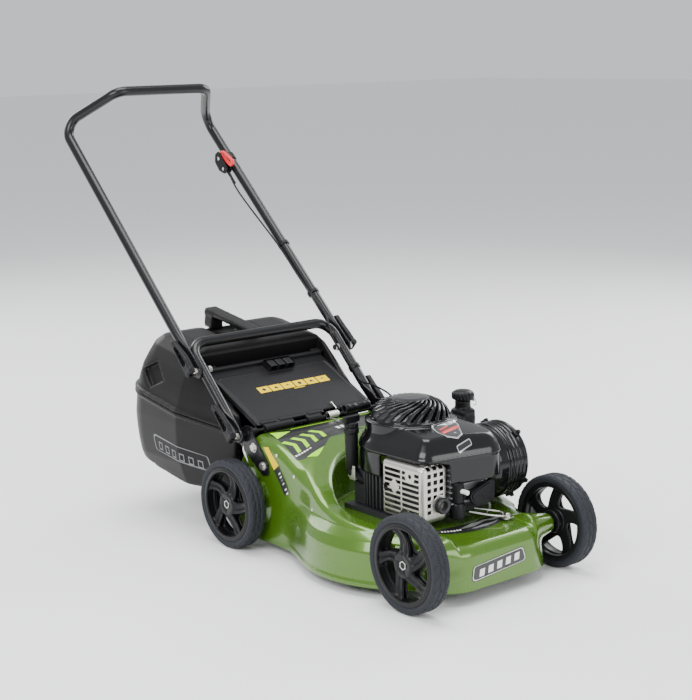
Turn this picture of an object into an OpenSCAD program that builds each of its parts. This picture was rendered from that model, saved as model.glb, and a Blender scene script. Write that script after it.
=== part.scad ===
// Petrol push mower with a rear grass catcher and four swing-back blades.
// Drawn nose towards -Y with the ground at z = 0; +X is the operator's left.
// Inside the modules y is measured back from the front axle, and placed() moves
// the finished pieces so that the origin lies under the middle of the machine.

/* [Deck] */
// Radius of the cutting chamber at its lower rim
chamber_r = 243; // [240:1:248]
// Distance from the front axle back to the crankshaft
crank_y = 228; // [224:1:232]
// Ground clearance of the deck's lower edge
skirt_z = 20; // [16:1:26]
// Thickness of the pressed steel
deck_wall = 2.5; // [2:0.5:3.5]
// Half width of the nose between the front wheels
nose_half = 162; // [156:1:164]
// Half width of the tall rear tunnel
tunnel_half = 190; // [186:1:191]
// Height of the pad that carries the engine
pad_z = 125; // [122:1:128]

/* [Wheels] */
// Wheel radius over the tread
wheel_r = 100; // [98:1:102]
// Width of a tyre
tyre_w = 42; // [38:1:44]
// Distance between the front and the rear axle
wheel_base = 575; // [570:1:582]
// Outer face of a front wheel from the middle
front_half = 232; // [231:1:236]
// Outer face of a rear wheel from the middle
rear_half = 246; // [244:1:248]
// Spokes in each wheel
spokes = 5; // [5:1:6]
// Radius of the bolt that each wheel turns on
axle_r = 6.3; // [6:0.1:6.6]

/* [Blades] */
// Radius that the blade tips sweep
cut_r = 225; // [222:0.5:229]
// Radius of the disc that carries the blades
disc_r = 178; // [170:1:182]
// Height of the underside of the disc
disc_z = 38; // [36:1:42]

/* [Handle] */
// Radius of the handle tube
tube_r = 12; // [11:0.5:12.5]
// Bend radius of the lower bar
bar_bend = 42; // [36:1:48]
// Bend radius of the upper bar
grip_bend = 40; // [34:1:44]
// Length of a cam lever
lever_len = 92; // [84:1:96]

/* [Catcher] */
// Half width of the catcher at its widest
bag_half = 232; // [226:1:234]
// Wall thickness of the catcher
bag_wall = 3; // [2.5:0.5:3.5]
// Upward tilt of the seam towards the rear, in degrees
bag_tilt = 9; // [8:0.5:10]
// Depth of the lower shell
bag_depth = 146; // [140:1:148]

/* [Engine] */
// Radius of the round end of the blower housing
housing_r = 110; // [108:1:111]
// Radius of the slotted starter cover
starter_r = 88; // [84:1:90]
// Radius of the air filter drum
filter_r = 78; // [76:1:79]

/* [Hidden] */

deck_green = [0.36, 0.55, 0.16];
gloss_black = [0.07, 0.07, 0.08];
plastic_black = [0.16, 0.16, 0.17];
flap_grey = [0.22, 0.22, 0.23];
rubber_grey = [0.24, 0.25, 0.28];
steel = [0.72, 0.73, 0.75];
dark_steel = [0.30, 0.30, 0.32];
throttle_red = [0.80, 0.10, 0.10];

$fn = 64;
eps = 0.01;

// Wheel centres
front_x = front_half - tyre_w / 2;
rear_x = rear_half - tyre_w / 2;
axle_z = wheel_r;
run_gap = 0.05;                       // radial clearance of every running fit

// Handle joints, on the operator's left; the right side mirrors them
pivot = [204, 572, 250];              // lower bar on its bracket
fold = [217, 705, 380];               // upper bar on the lower bar
grip_corner = [213, 1270, 915];       // where the upper bar turns inwards
grip_end = [131, 1140, 998];          // end of the straight grip
bar_corner = [204, 758, 434];         // top corner of the lower bar
leg_dir = unit(bar_corner - pivot);
up_dir = unit([0, grip_corner.y - fold.y, grip_corner.z - fold.z]);

// The rearmost point of the whole machine is on the bend at grip_corner
bend_in = unit(grip_corner - fold);
bend_out = unit(grip_end - grip_corner);
bend_axis = unit(cross(bend_in, bend_out));
bend_back = grip_bend * tan(acos(bend_in * bend_out) / 2);
bend_centre = grip_corner - bend_in * bend_back + cross(bend_axis, bend_in) * grip_bend;
rear_y = bend_centre.y + grip_bend * sqrt(1 - bend_axis.y * bend_axis.y) + tube_r;
shift_y = (rear_y - wheel_r) / 2;

// Flap hinge and slope
hinge_y = 548;
hinge_z = 262;
hinge_r = 4;
flap_slope = 25;
flap_half = 166;
flap_len = 232;

// Top line of the deck from the side: nose, ring, ramp and rear
deck_top = [[-55, 20], [-51, 60], [-46, 98], [-36, 113], [-15, 121], [60, 124], [140, 130], [220, 142],
    [290, 158], [335, 180], [380, 207], [425, 234], [465, 250], [505, 256], [536, 256]];
pad_r = 167;
mount_r = 84;                         // engine bolts around the crankshaft

function unit(v) = v / norm(v);
function flip(v, side) = [v.x * side, v.y, v.z];
// A matrix that stands local Z along z at point p, with local X as near to x as it can be
function stand(p, x, z) =
    let (zz = unit(z), yy = unit(cross(zz, x)), xx = cross(yy, zz))
    [[xx.x, yy.x, zz.x, p.x], [xx.y, yy.y, zz.y, p.y], [xx.z, yy.z, zz.z, p.z], [0, 0, 0, 1]];
function across(v) = abs(v.x) < 0.9 * norm(v) ? [1, 0, 0] : [0, 1, 0];
// How far the tangent point of bend i lies from its corner
function trim(pts, i, bend) =
    i <= 0 || i >= len(pts) - 1 ? 0
    : bend * tan(acos(unit(pts[i] - pts[i - 1]) * unit(pts[i + 1] - pts[i])) / 2);

module placed() {
    translate([0, -shift_y, 0]) children();
}

module rod(a, b, r) {
    multmatrix(stand(a, across(b - a), b - a)) cylinder(h = norm(b - a), r = r);
}

// The line along straight runs joined by bends of one radius
function bent_line(pts, bend) = concat([pts[0]],
    [for (i = [1 : len(pts) - 2])
        let (d1 = unit(pts[i] - pts[i - 1]), d2 = unit(pts[i + 1] - pts[i]), turn = acos(d1 * d2),
            inward = cross(unit(cross(d1, d2)), d1), start = pts[i] - d1 * trim(pts, i, bend), n = ceil(turn / 7))
        for (k = [0 : n]) start + bend * (inward * (1 - cos(turn * k / n)) + d1 * sin(turn * k / n))],
    [pts[len(pts) - 1]]);

// A bar of round section along a line; no stretch of the line runs along bar_side
bar_side = [0, -0.69, 0.72];

module sweep(line, r, sides) {
    n = len(line);
    rings = [for (i = [0 : n - 1])
        let (d = unit(line[min(i + 1, n - 1)] - line[max(i - 1, 0)]), u = unit(cross(bar_side, d)), v = cross(d, u))
        for (k = [0 : sides - 1]) line[i] + r * (cos(k * 360 / sides) * u + sin(k * 360 / sides) * v)];
    walls = [for (i = [0 : n - 2], k = [0 : sides - 1], h = [0, 1])
        let (a = i * sides + k, b = i * sides + (k + 1) % sides)
        h == 0 ? [a, a + sides, b] : [b, a + sides, b + sides]];
    polyhedron(points = rings, faces = concat(walls, [[for (k = [0 : sides - 1]) k]],
        [[for (k = [sides - 1 : -1 : 0]) (n - 1) * sides + k]]));
}

// An outline drawn in (y, z), extruded along X between two planes
module side_plate(x0, x1) {
    translate([x0, 0, 0]) rotate([90, 0, 90]) linear_extrude(x1 - x0) children();
}

module both_sides() {
    for (side = [-1, 1]) mirror([side < 0 ? 1 : 0, 0, 0]) children();
}

module across_x(x0, x1, r) {
    translate([x0, 0, 0]) rotate([0, 90, 0]) cylinder(h = x1 - x0, r = r);
}

// ---- Deck ----

// Everything inside the deck's outer skin; inset shrinks it by the wall
module deck_body(inset) {
    low = inset > 0 ? skirt_z - 5 : skirt_z;
    intersection() {
        union() {
            translate([0, crank_y, low]) cylinder(h = 100 - low, r1 = chamber_r - inset, r2 = chamber_r - 5 - inset, $fn = 128);
            translate([0, crank_y, 100 - eps]) cylinder(h = 34, r1 = chamber_r - 5 - inset, r2 = chamber_r - 36 - inset, $fn = 128);
            translate([0, crank_y, 134 - 2 * eps]) cylinder(h = 160, r = chamber_r - 36 - inset, $fn = 128);
            nose_block(inset, low);
            side_plate(-tunnel_half + inset, tunnel_half - inset)
                polygon([[300, low], [536, low], [536, 300], [300, 300]]);
        }
        wheel_recess(inset);
        side_plate(-300, 300) polygon(concat(
            [for (p = deck_top) p - [p.x < -30 ? -inset : 0, p.y < 30 ? 10 : inset]],
            [[640, 256 - inset], [640, low - 5]]));
    }
}

// What is left of the width once the ring is scooped out round the front wheels
module wheel_recess(inset) {
    difference() {
        translate([-300, -100, -1]) cube([600, 800, 400]);
        both_sides() translate([front_half - tyre_w - 5 - inset, 0, axle_z]) rotate([0, 90, 0])
            cylinder(h = 200, r = wheel_r + 6 + inset);
    }
}

module nose_block(inset, low) {
    corner = 80;
    half = nose_half - inset;
    top = 126 - inset;
    translate([0, 120, 0]) rotate([90, 0, 0]) linear_extrude(190) intersection() {
        union() {
            translate([-half, low]) square([2 * half, top - corner - low]);
            translate([corner - half, low]) square([2 * (half - corner), top - low]);
            for (s = [-1, 1]) translate([s * (half - corner), top - corner]) circle(r = corner);
        }
        translate([-half, low]) square([2 * half, top - low]);
    }
}

module deck() {
    color(deck_green) difference() {
        union() {
            difference() {
                deck_body(0);
                deck_body(deck_wall);
                translate([0, crank_y, pad_z]) cylinder(h = 200, r = pad_r);
            }
            intersection() {
                deck_body(0);
                translate([0, crank_y, pad_z - deck_wall]) difference() {
                    cylinder(h = 200, r = pad_r + deck_wall);
                    translate([0, 0, deck_wall]) cylinder(h = 200, r = pad_r);
                }
            }
            rear_ducting();
        }
        translate([0, crank_y, 0]) cylinder(h = 200, r = 30);
        for (a = [45 : 90 : 315]) translate([0, crank_y, 0]) rotate([0, 0, a]) translate([mount_r, 0, 0]) cylinder(h = 200, r = 4.4);
        both_sides() wheel_arch();
        side_plate(-300, 300) polygon([[-90, 0], [-90, 28], [-20, 27], [50, skirt_z], [50, 0]]);
        both_sides() translate([0, 0, axle_z]) across_x(100, 200, axle_r);
        both_sides() translate([0, wheel_base, axle_z]) across_x(150, 210, axle_r);
        both_sides() for (p = bracket_holes) translate([0, p.x, p.y]) across_x(170, 210, 4.1);
    }
}

// Sides that carry the rear axle, and the floor of the discharge tunnel
module rear_ducting() {
    both_sides() side_plate(tunnel_half - deck_wall, tunnel_half)
        polygon([[530, skirt_z], [590, 34], [606, 60], [606, 150], [584, 190], [552, 240], [530, 244]]);
    side_plate(-tunnel_half + 1, tunnel_half - 1) polygon([[474, skirt_z + 8], [476.5, skirt_z + 8], [482, 78], [596, 87], [596, 89.5], [480, 80.5]]);
}

// The nose is cut away low down on each side, under the axle boss
module wheel_arch() {
    side_plate(nose_half - 8, nose_half + 5) polygon([[-35, 0], [-35, 50], [-10, 62], [60, 70], [60, 0]]);
}

module front_axle_bosses() {
    color(deck_green) both_sides() difference() {
        translate([0, 0, axle_z]) union() {
            rotate([0, 90, 0]) translate([0, 0, 118]) cylinder(h = 66, r1 = 34, r2 = 20);
        }
        deck_body(-0.1);
        translate([0, 0, axle_z]) across_x(100, 200, axle_r);
    }
}

module rear_axle_plates() {
    color(gloss_black) both_sides() difference() {
        side_plate(tunnel_half + 0.1, tunnel_half + 4) hull() {
            translate([wheel_base, axle_z]) circle(r = 26, $fn = 32);
            translate([wheel_base - 60, axle_z + 44]) circle(r = 14, $fn = 32);
            translate([wheel_base - 62, axle_z - 30]) circle(r = 12, $fn = 32);
        }
        translate([0, wheel_base, axle_z]) across_x(180, 200, axle_r);
    }
}

// One shouldered bolt per wheel: shank, head, lock nut
module axle_bolt(inner_x, hub_in, hub_out) {
    across_x(inner_x, hub_out + 3, axle_r);
    across_x(inner_x - 6, inner_x, 9.5, $fn = 6);
    across_x(hub_in - 3, hub_in - 0.3, 13);
    across_x(hub_out + 0.3, hub_out + 2.6, 12);
    across_x(hub_out + 2.6, hub_out + 8, 9.5, $fn = 6);
}

module axle_bolts() {
    color(steel) both_sides() {
        translate([0, 0, axle_z]) axle_bolt(112, 187.3, front_half - 12);
        translate([0, wheel_base, axle_z]) axle_bolt(tunnel_half - deck_wall - 0.4, 197.5, rear_half - 12);
    }
}

// ---- Wheels ----

module tyre() {
    rotate([0, 90, 0]) rotate_extrude($fn = 96) difference() {
        translate([79, -tyre_w / 2]) union() {
            square([wheel_r - 79 - 7, tyre_w]);
            translate([0, 7]) square([wheel_r - 79, tyre_w - 14]);
            for (y = [7, tyre_w - 7]) translate([wheel_r - 79 - 7, y]) circle(r = 7);
        }
        for (y = [-12, -4, 4, 12]) translate([wheel_r - 1.2, y - 0.8]) square([3, 1.6]);
    }
}

// Rim band, hub and dished double-rib spokes; the outer face is towards +X
module rim() {
    rotate([0, 90, 0]) difference() {
        union() {
            rotate_extrude($fn = 96) {
                translate([73, -tyre_w / 2 + 1]) square([5.95, tyre_w - 2]);
                translate([16, -21]) square([6, 30]);
                translate([6, -21]) square([12, 30]);
            }
            for (i = [0 : spokes - 1]) rotate([0, 0, i * 360 / spokes]) spoke();
        }
        translate([0, 0, -40]) cylinder(h = 80, r = axle_r + run_gap);
    }
}

module spoke() {
    translate([16, 0, -14]) rotate([90, 0, 0]) translate([0, 0, -11]) linear_extrude(22) polygon([[0, 8], [59, 18], [59, 26], [0, 20]]);
    for (s = [-1, 1]) translate([14, s * 8, -14]) rotate([90, 0, 0]) translate([0, 0, -2.5]) linear_extrude(5) polygon([[0, 16], [61, 24], [61, 33], [0, 25]]);
}

module wheel_at(side, x, y) {
    translate([side * x, y, axle_z]) mirror([side < 0 ? 1 : 0, 0, 0]) children();
}

// ---- Crank, disc and blades ----

blade_pivot_r = 150;
blade_w = 46;
blade_t = 3;

module crankshaft() {
    color(steel) translate([0, crank_y, 0]) {
        translate([0, 0, disc_z + 5]) cylinder(h = 300 - disc_z, r = 11);
        translate([0, 0, pad_z + 30]) cylinder(h = 14, r = 34);
        translate([0, 0, pad_z + 60]) cylinder(h = 14, r = 34);
        translate([22, 0, pad_z + 44]) cylinder(h = 16, r = 9);
    }
}

module flywheel() {
    color(dark_steel) translate([0, crank_y, 0]) difference() {
        union() {
            translate([0, 0, 262]) cylinder(h = 16, r = 78);
            for (i = [0 : 15]) rotate([0, 0, i * 22.5]) translate([44, -1.5, 278 - eps]) cube([32, 3, 16]);
        }
        translate([0, 0, 250]) cylinder(h = 60, r = 11.03);
    }
}

module blade_disc() {
    color(dark_steel) translate([0, crank_y, disc_z]) difference() {
        union() {
            cylinder(h = 3, r = disc_r, $fn = 96);
            cylinder(h = 5, r = 60);
            cylinder(h = 12, r = 26);
            translate([0, 0, -9]) cylinder(h = 9.1, r = 12, $fn = 6);
        }
        translate([0, 0, 5]) cylinder(h = 20, r = 11.03);
        for (i = [0 : 3]) rotate([0, 0, i * 90]) translate([blade_pivot_r, 0, -1]) cylinder(h = 8, r = 5.02);
    }
}

module blade_bolts() {
    color(steel) translate([0, crank_y, disc_z]) for (i = [0 : 3]) rotate([0, 0, i * 90]) translate([blade_pivot_r, 0, 0]) {
        translate([0, 0, -4.5]) cylinder(h = 12, r = 5);
        translate([0, 0, -8.5]) cylinder(h = 4, r = 10);
        translate([0, 0, 3.1]) cylinder(h = 6, r = 8.5, $fn = 6);
    }
}

module swing_blade(i) {
    color(steel) translate([0, crank_y, disc_z - 0.5 - blade_t]) rotate([0, 0, i * 90]) translate([blade_pivot_r, 0, 0]) difference() {
        union() {
            cylinder(h = blade_t, r = 17);
            translate([0, -17, 0]) cube([cut_r - blade_pivot_r - 22, 34, blade_t]);
            translate([cut_r - blade_pivot_r - 22, -17, 0]) intersection() {
                cube([22, 34, blade_t]);
                translate([22 - cut_r, 17, 0]) cylinder(h = blade_t, r = cut_r, $fn = 128);
            }
        }
        translate([0, 0, -1]) cylinder(h = 6, r = 5 + run_gap);
    }
}

// ---- Handle brackets and bars ----

// Bolt holes of each bracket through the deck side, as [y, z]
bracket_holes = [[529, 231], [497, 195]];
bracket_x = tunnel_half + 0.1;
plate_t = 4;

module handle_brackets() {
    color(gloss_black) both_sides() difference() {
        union() {
            side_plate(bracket_x, bracket_x + plate_t) polygon([[480, 178], [500, 172], [520, 186], [592, 236],
                [594, 262], [574, 270], [562, 276], [540, 276], [532, 268], [530, 254], [482, 202]]);
            translate([0, hinge_y, hinge_z]) across_x(flap_half + 8, bracket_x + 1, 8);
        }
        for (p = bracket_holes) translate([0, p.x, p.y]) across_x(180, 210, 4.1);
        translate([0, pivot.y, pivot.z]) across_x(180, 220, 6 + run_gap);
        translate([0, hinge_y, hinge_z]) across_x(160, 200, hinge_r);
    }
}

module bracket_bolts() {
    color(steel) both_sides() for (p = bracket_holes) translate([0, p.x, p.y]) {
        across_x(tunnel_half - deck_wall - 7, bracket_x + plate_t, 4.1);
        across_x(bracket_x + plate_t, bracket_x + plate_t + 2, 10.5);
        across_x(bracket_x + plate_t + 2, bracket_x + plate_t + 7, 8, $fn = 6);
        across_x(tunnel_half - deck_wall - 7, tunnel_half - deck_wall, 7.5, $fn = 6);
    }
}

// Lower bar: a crossbar with two legs whose flat feet turn on the brackets
module lower_handle() {
    foot = pivot + leg_dir * 34;
    color(gloss_black) difference() {
        union() {
            sweep(bent_line([flip(foot, -1), flip(bar_corner, -1), bar_corner, foot], bar_bend), tube_r, 32);
            both_sides() {
                across_foot(pivot.x - 6, pivot.x + 4);
            }
        }
        both_sides() {
            translate([0, pivot.y, pivot.z]) across_x(180, 220, 6 + run_gap);
            translate([0, fold.y, fold.z]) across_x(180, 230, 4 + run_gap);
        }
    }
}

module across_foot(x0, x1) {
    translate([0, pivot.y, pivot.z]) across_x(x0, x1, 15);
    side_plate(x0, x1) translate([pivot.y, pivot.z]) rotate(atan2(leg_dir.z, leg_dir.y)) translate([0, -12]) square([52, 24]);
}

// Outer faces that the cam levers clamp against
pivot_lever_x = 217;
fold_lever_x = 231;

// The two shouldered bolts that the lower bar turns on, and the two fold bolts above
module handle_pivot_bolts() {
    color(steel) both_sides() {
        translate([0, pivot.y, pivot.z]) {
            across_x(bracket_x - 0.1, pivot.x + 4.2, 6);
            across_x(pivot.x + 4.2, pivot_lever_x - 0.3, 9);
            across_x(pivot_lever_x - 0.4, pivot_lever_x + 5, 4);
            across_x(bracket_x - 6, bracket_x - 0.1, 8);
        }
        translate([0, fold.y, fold.z]) {
            across_x(pivot.x - 22, fold_lever_x + 5, 4);
            across_x(fold.x + 5.2, fold_lever_x - 0.3, 9);
            across_x(pivot.x - 22, pivot.x - 14.5, 8, $fn = 6);
            across_x(pivot.x - 14.5, pivot.x - 12.2, 9);
        }
    }
}

upper_start = fold + up_dir * 44 + [2, 0, 0];

// Upper bar: flat ends beside the legs, a straight run up and a raised grip
module upper_handle() {
    color(gloss_black) difference() {
        union() {
            difference() {
                sweep(bent_line([flip(upper_start, -1), flip(grip_corner, -1), flip(grip_end, -1), grip_end,
                    grip_corner, upper_start], grip_bend), tube_r - 0.05, 32);
                both_sides() side_plate(fold.x - 20, fold.x - 0.6) translate([fold.y, fold.z])
                    rotate(atan2(up_dir.z, up_dir.y)) translate([0, -20]) square([88, 40]);
            }
            translate([0, grip_end.y, grip_end.z]) across_x(-100, 100, tube_r);
            both_sides() {
                translate([0, fold.y, fold.z]) across_x(fold.x - 0.6, fold.x + 5, 17);
                side_plate(fold.x - 0.6, fold.x + 5) translate([fold.y, fold.z])
                    rotate(atan2(up_dir.z, up_dir.y)) translate([0, -15]) square([66, 30]);
            }
        }
        both_sides() translate([0, fold.y, fold.z]) across_x(200, 230, 4 + run_gap);
    }
}

// A clamping lever lying along a bar: an eccentric barrel and a tapering channelled arm.
// Drawn with the arm along +X, its clamping face at z = 0 and the bolt coming up at the origin.
cam_z = 7.5;

module cam_lever() {
    color(plastic_black) difference() {
        union() {
            translate([0, -12.5, cam_z]) rotate([-90, 0, 0]) cylinder(h = 25, r = 7.2);
            linear_extrude(13) intersection() {
                hull() {
                    translate([lever_len - 9, 0]) circle(r = 9, $fn = 32);
                    translate([8, 0]) circle(r = 12.5, $fn = 32);
                }
                translate([0, -20]) square([lever_len + 10, 40]);
            }
        }
        translate([22, 0, 4]) linear_extrude(12) hull() {
            circle(r = 7, $fn = 32);
            translate([lever_len - 38, 0]) circle(r = 5, $fn = 32);
        }
        translate([-14, -4.4, -1]) cube([18.5, 8.8, 13]);
    }
}

// On a clamp whose bar runs along dir, on the given side
module lever_on(joint, x, dir, side) {
    multmatrix(stand([side * x, joint.y, joint.z], dir, [side, 0, 0])) children();
}

// ---- Throttle ----

// Where the throttle sits on the left-hand run of the upper bar
throttle_at = grip_corner + (upper_start - grip_corner) * 0.2;
throttle_pin = [8, 7];                // lever pivot, as [up the bar, behind it]

// Local X up the bar, Y behind it, Z inwards towards the operator
module on_throttle() {
    multmatrix(stand(throttle_at, up_dir, [-1, 0, 0])) children();
}

module throttle_housing() {
    color(plastic_black) on_throttle() {
        difference() {
            union() {
                translate([0, 0, tube_r + 0.6]) linear_extrude(16) hull() {
                    translate(throttle_pin) circle(r = 18);
                    translate([-30, 8]) circle(r = 10);
                    translate([-14, 12]) circle(r = 16);
                }
                translate([-10, 0, 0]) rotate([0, 90, 0]) cylinder(h = 20, r = tube_r + 3);
            }
            translate([-40, 0, 0]) rotate([0, 90, 0]) cylinder(h = 80, r = tube_r + 0.5);
            translate([-60, -60, tube_r + 4]) cube([120, 76, 8.6]);
        }
        translate([throttle_pin.x, throttle_pin.y, tube_r + 2]) cylinder(h = 13, r = 3);
    }
}

// A flat lever that ends in an open loop
module throttle_lever() {
    color(throttle_red) on_throttle() translate([0, 0, tube_r + 4.8]) linear_extrude(7) difference() {
        union() {
            hull() {
                translate(throttle_pin) circle(r = 8);
                translate([14, -10]) circle(r = 6);
            }
            hull() {
                translate([14, -10]) circle(r = 6);
                translate([-30, -18]) circle(r = 10);
                translate([-26, -8]) circle(r = 5);
            }
        }
        hull() {
            translate([4, -11]) circle(r = 2);
            translate([-28, -17]) circle(r = 6);
        }
        translate(throttle_pin) circle(r = 3 + run_gap);
    }
}

// The throttle wire is held along the bars: one length moves with the upper bar, the other stays below
cable_r = 2.2;
cable_in = [-38.3, 0, 0];   // inboard of the fold nut, outboard of the flap rod's end
up_side = cross([1, 0, 0], up_dir);   // square to the upper bar, on its front side
leg_side = cross([1, 0, 0], leg_dir);
cable_upper = [throttle_at + [-20, 0, 0] - up_dir * 34 - up_side * 8, throttle_at + [-24, 0, 0] - up_dir * 110 - up_side * 12,
    fold + up_dir * 330 + [-17, 0, 0], fold + up_dir * 210 + up_side * 4 + [-17, 0, 0],
    fold + up_dir * 100 + up_side * 20 + [-20, 0, 0], fold + up_dir * 50 + up_side * 20 + [-32, 0, 0],
    fold + up_dir * 27 + up_side * 18 + cable_in];
cable_lower = [fold + up_dir * 25 + up_side * 18 + cable_in, fold + up_side * 14 + cable_in,
    pivot + leg_dir * 120 + leg_side * 10 + [-17, 0, 0], pivot + leg_dir * 70 + leg_side * 16 + [-18, 0, 0],
    [180, 560, 310], [166, 480, 300], [130, 390, 276], [96, 340, 262], [84, 316, 244]];

// Catmull-Rom points through p
function smooth(p, steps) = concat([for (i = [0 : len(p) - 2], k = [0 : steps - 1])
    let (a = p[max(i - 1, 0)], b = p[i], c = p[i + 1], d = p[min(i + 2, len(p) - 1)], t = k / steps)
    0.5 * (2 * b + (c - a) * t + (2 * a - 5 * b + 4 * c - d) * t * t + (3 * b - a - 3 * c + d) * t * t * t)],
    [p[len(p) - 1]]);

module throttle_cable_upper() {
    color(gloss_black) {
        sweep(smooth(cable_upper, 6), cable_r, 10);
        multmatrix(stand(fold + up_dir * 326, [1, 0, 0], up_dir)) difference() {
            cylinder(h = 8, r = tube_r + 2.9);
            translate([0, 0, -1]) cylinder(h = 10, r = tube_r + 0.7);
        }
    }
}

module throttle_cable_lower() {
    color(gloss_black) sweep(smooth(cable_lower, 6), cable_r, 10);
}

// ---- Flap ----

module on_flap() {
    translate([0, hinge_y, hinge_z]) rotate([flap_slope, 0, 0]) children();
}

module flap_hinge_rod() {
    color(gloss_black) translate([0, hinge_y, hinge_z]) across_x(-bracket_x - 6, bracket_x + 6, hinge_r);
}

module flap() {
    color(flap_grey) on_flap() difference() {
        union() {
            translate([-flap_half, 7, 5]) cube([2 * flap_half, flap_len - 7, 3.5]);
            both_sides() translate([flap_half - 4, 12, -3]) cube([4, flap_len - 30, 9]);
            for (x = [[-150, -70], [-30, 10], [80, 150]]) {
                across_x(x[0], x[1], 8);
                translate([x[0], 0, 3.5]) cube([x[1] - x[0], 10, 4.5]);
            }
            translate([-flap_half, flap_len - 4, 0]) cube([2 * flap_half, 4, 9]);
            latch_block();
        }
        translate([24, 0, -6]) cube([42, 15, 30]);
        across_x(-180, 180, hinge_r + run_gap);
        translate([0, flap_len - 9, 12]) across_x(-flap_half - 5, flap_half + 5, 5.05);
    }
}

// A moulded finger lift with three cells, near the flap's free edge
module latch_block() {
    difference() {
        translate([-16, flap_len - 52, 8]) cube([76, 28, 21]);
        for (i = [0 : 2]) translate([-12 + i * 24, flap_len - 53, 11]) cube([20, 24, 14.5]);
    }
    translate([-flap_half, flap_len - 18, 8]) difference() {
        cube([2 * flap_half, 18, 11]);
        translate([-1, 9, 4]) rotate([0, 90, 0]) cylinder(h = 400, r = 5.05);
    }
}

module flap_rod() {
    color(steel) on_flap() translate([0, flap_len - 9, 12]) across_x(-flap_half - 10, flap_half + 10, 5);
}

module flap_spring() {
    color(steel) translate([0, hinge_y, hinge_z]) {
        for (i = [0 : 10]) translate([30 + i * 2.9, 0, 0]) rotate([0, 90, 0]) rotate_extrude() translate([9, 0]) circle(r = 1.5);
        rotate([flap_slope, 0, 0]) rod([60, 0, 10.5], [60, 30, 10.5], 1.4);
        rod([30, -9, 0], [30, -40, -3.4], 1.4);
    }
}

// ---- Catcher ----

// Seam plane of the catcher: local Y runs rearwards along the seam, Z out of it
bag_at = [0, 612, 247];
bag_len = 402;
mouth_half = 182;

module on_bag() {
    translate(bag_at) rotate([bag_tilt, 0, 0]) children();
}

// Plan outline: narrow between the handle legs, then wide, with round rear corners
module bag_outline(inset) {
    half = bag_half - inset;
    corner = 90 - inset;
    hull() {
        translate([-mouth_half + inset, inset]) square([2 * (mouth_half - inset), 1]);
        translate([-half, 170]) square([2 * half, 1]);
        for (s = [-1, 1]) translate([s * (half - corner), bag_len - corner - inset]) circle(r = corner, $fn = 48);
    }
}

// A thin slice of the outline between two distances back from the mouth
module bag_slice(z, inset, from, to) {
    translate([0, 0, z]) linear_extrude(1) intersection() {
        bag_outline(inset);
        translate([-300, from]) square([600, to - from]);
    }
}

// The floor is level in the machine's frame, and steps up towards the rear
module base_form(inset) {
    hull() {
        on_bag() bag_slice(inset > 0 ? 3 : -1, inset, inset, bag_len);
        translate([0, bag_at.y, inset]) {
            bag_slice(150, inset + 6, 12, bag_len - 8);
            bag_slice(118, inset + 18, 24, 296);
            bag_slice(bag_at.z - bag_depth - 9, inset + 30, 34, 170);
        }
    }
}

module top_form(inset) {
    difference() {
        hull() on_bag() {
            bag_slice(inset > 0 ? -3 : 0, inset, inset, bag_len);
            bag_slice(34 - inset, inset + 6, 6, bag_len);
            bag_slice(60 - inset, inset + 11, 75, bag_len);
            bag_slice(116 - inset, inset + 36, 150, bag_len);
            bag_slice(141 - inset, inset + 78, 180, bag_len);
        }
        on_flap() translate([-flap_half - 12 - inset, -60, -4.5 - inset])
            cube([2 * (flap_half + 12 + inset), flap_len + 76 + inset, 300]);
        on_bag() translate([-62 - inset, 212 - inset, 108 - inset]) cube([124 + 2 * inset, 142 + 2 * inset, 60]);
    }
}

// The open front that fits against the deck's discharge tunnel
module bag_mouth() {
    translate([-mouth_half + 14, -20, -92]) cube([2 * mouth_half - 28, 60, 144]);
}

module catcher_base() {
    color(plastic_black) difference() {
        union() {
            base_form(0);
            on_bag() translate([0, 0, -9]) linear_extrude(8.8) bag_outline(-5);
        }
        base_form(bag_wall);
        on_bag() bag_mouth();
        on_bag() translate([-300, -50, -0.2]) cube([600, 600, 100]);
    }
}

module catcher_top() {
    color(plastic_black) {
        difference() {
            union() {
                top_form(0);
                on_bag() linear_extrude(9) bag_outline(-5);
            }
            top_form(bag_wall);
            on_bag() bag_mouth();
        }
        on_bag() carry_handle();
    }
}

// A beam over a shallow dish, standing on two feet
module carry_handle() {
    translate([-17, 193, 152]) cube([34, 190, 15]);
    translate([-17, 193, 139]) cube([34, 26, 14]);
    translate([-17, 349, 139]) cube([34, 34, 14]);
}

// ---- Engine ----

module at_crank(z) {
    translate([0, crank_y, z]) children();
}

module engine_base() {
    color(gloss_black) difference() {
        union() {
            translate([-112, 118, pad_z + 0.2]) cube([222, 200, 9.8]);
            at_crank(pad_z + 10 - eps) cylinder(h = 58, r = 78);
            translate([-34, 128, pad_z + 10 - eps]) cube([92, 100, 58]);
            at_crank(pad_z + 68 - 2 * eps) cylinder(h = 20, r = 66);
        }
        at_crank(pad_z + 20) cylinder(h = 58, r = 56);
        at_crank(0) cylinder(h = 400, r = 11 + run_gap);
        for (a = [45 : 90 : 315]) at_crank(pad_z - 5) rotate([0, 0, a]) translate([mount_r, 0, 0]) cylinder(h = 140, r = 4.1);
    }
}

module engine_bolts() {
    color(steel) for (a = [45 : 90 : 315]) at_crank(0) rotate([0, 0, a]) translate([mount_r, 0, 0]) {
        translate([0, 0, pad_z - 14]) cylinder(h = 60, r = 4.05);
        translate([0, 0, pad_z - 14]) cylinder(h = 11, r = 7.5, $fn = 6);
    }
}

// Finned barrel and head, lying forward of the crankcase under the housing
module cylinder_block() {
    color(dark_steel) {
        translate([-30, 70, pad_z + 40]) cube([92, 57.8, 84]);
        for (i = [0 : 6]) translate([-36, 64, pad_z + 44 + i * 12]) cube([104, 62, 3]);
    }
}

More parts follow.
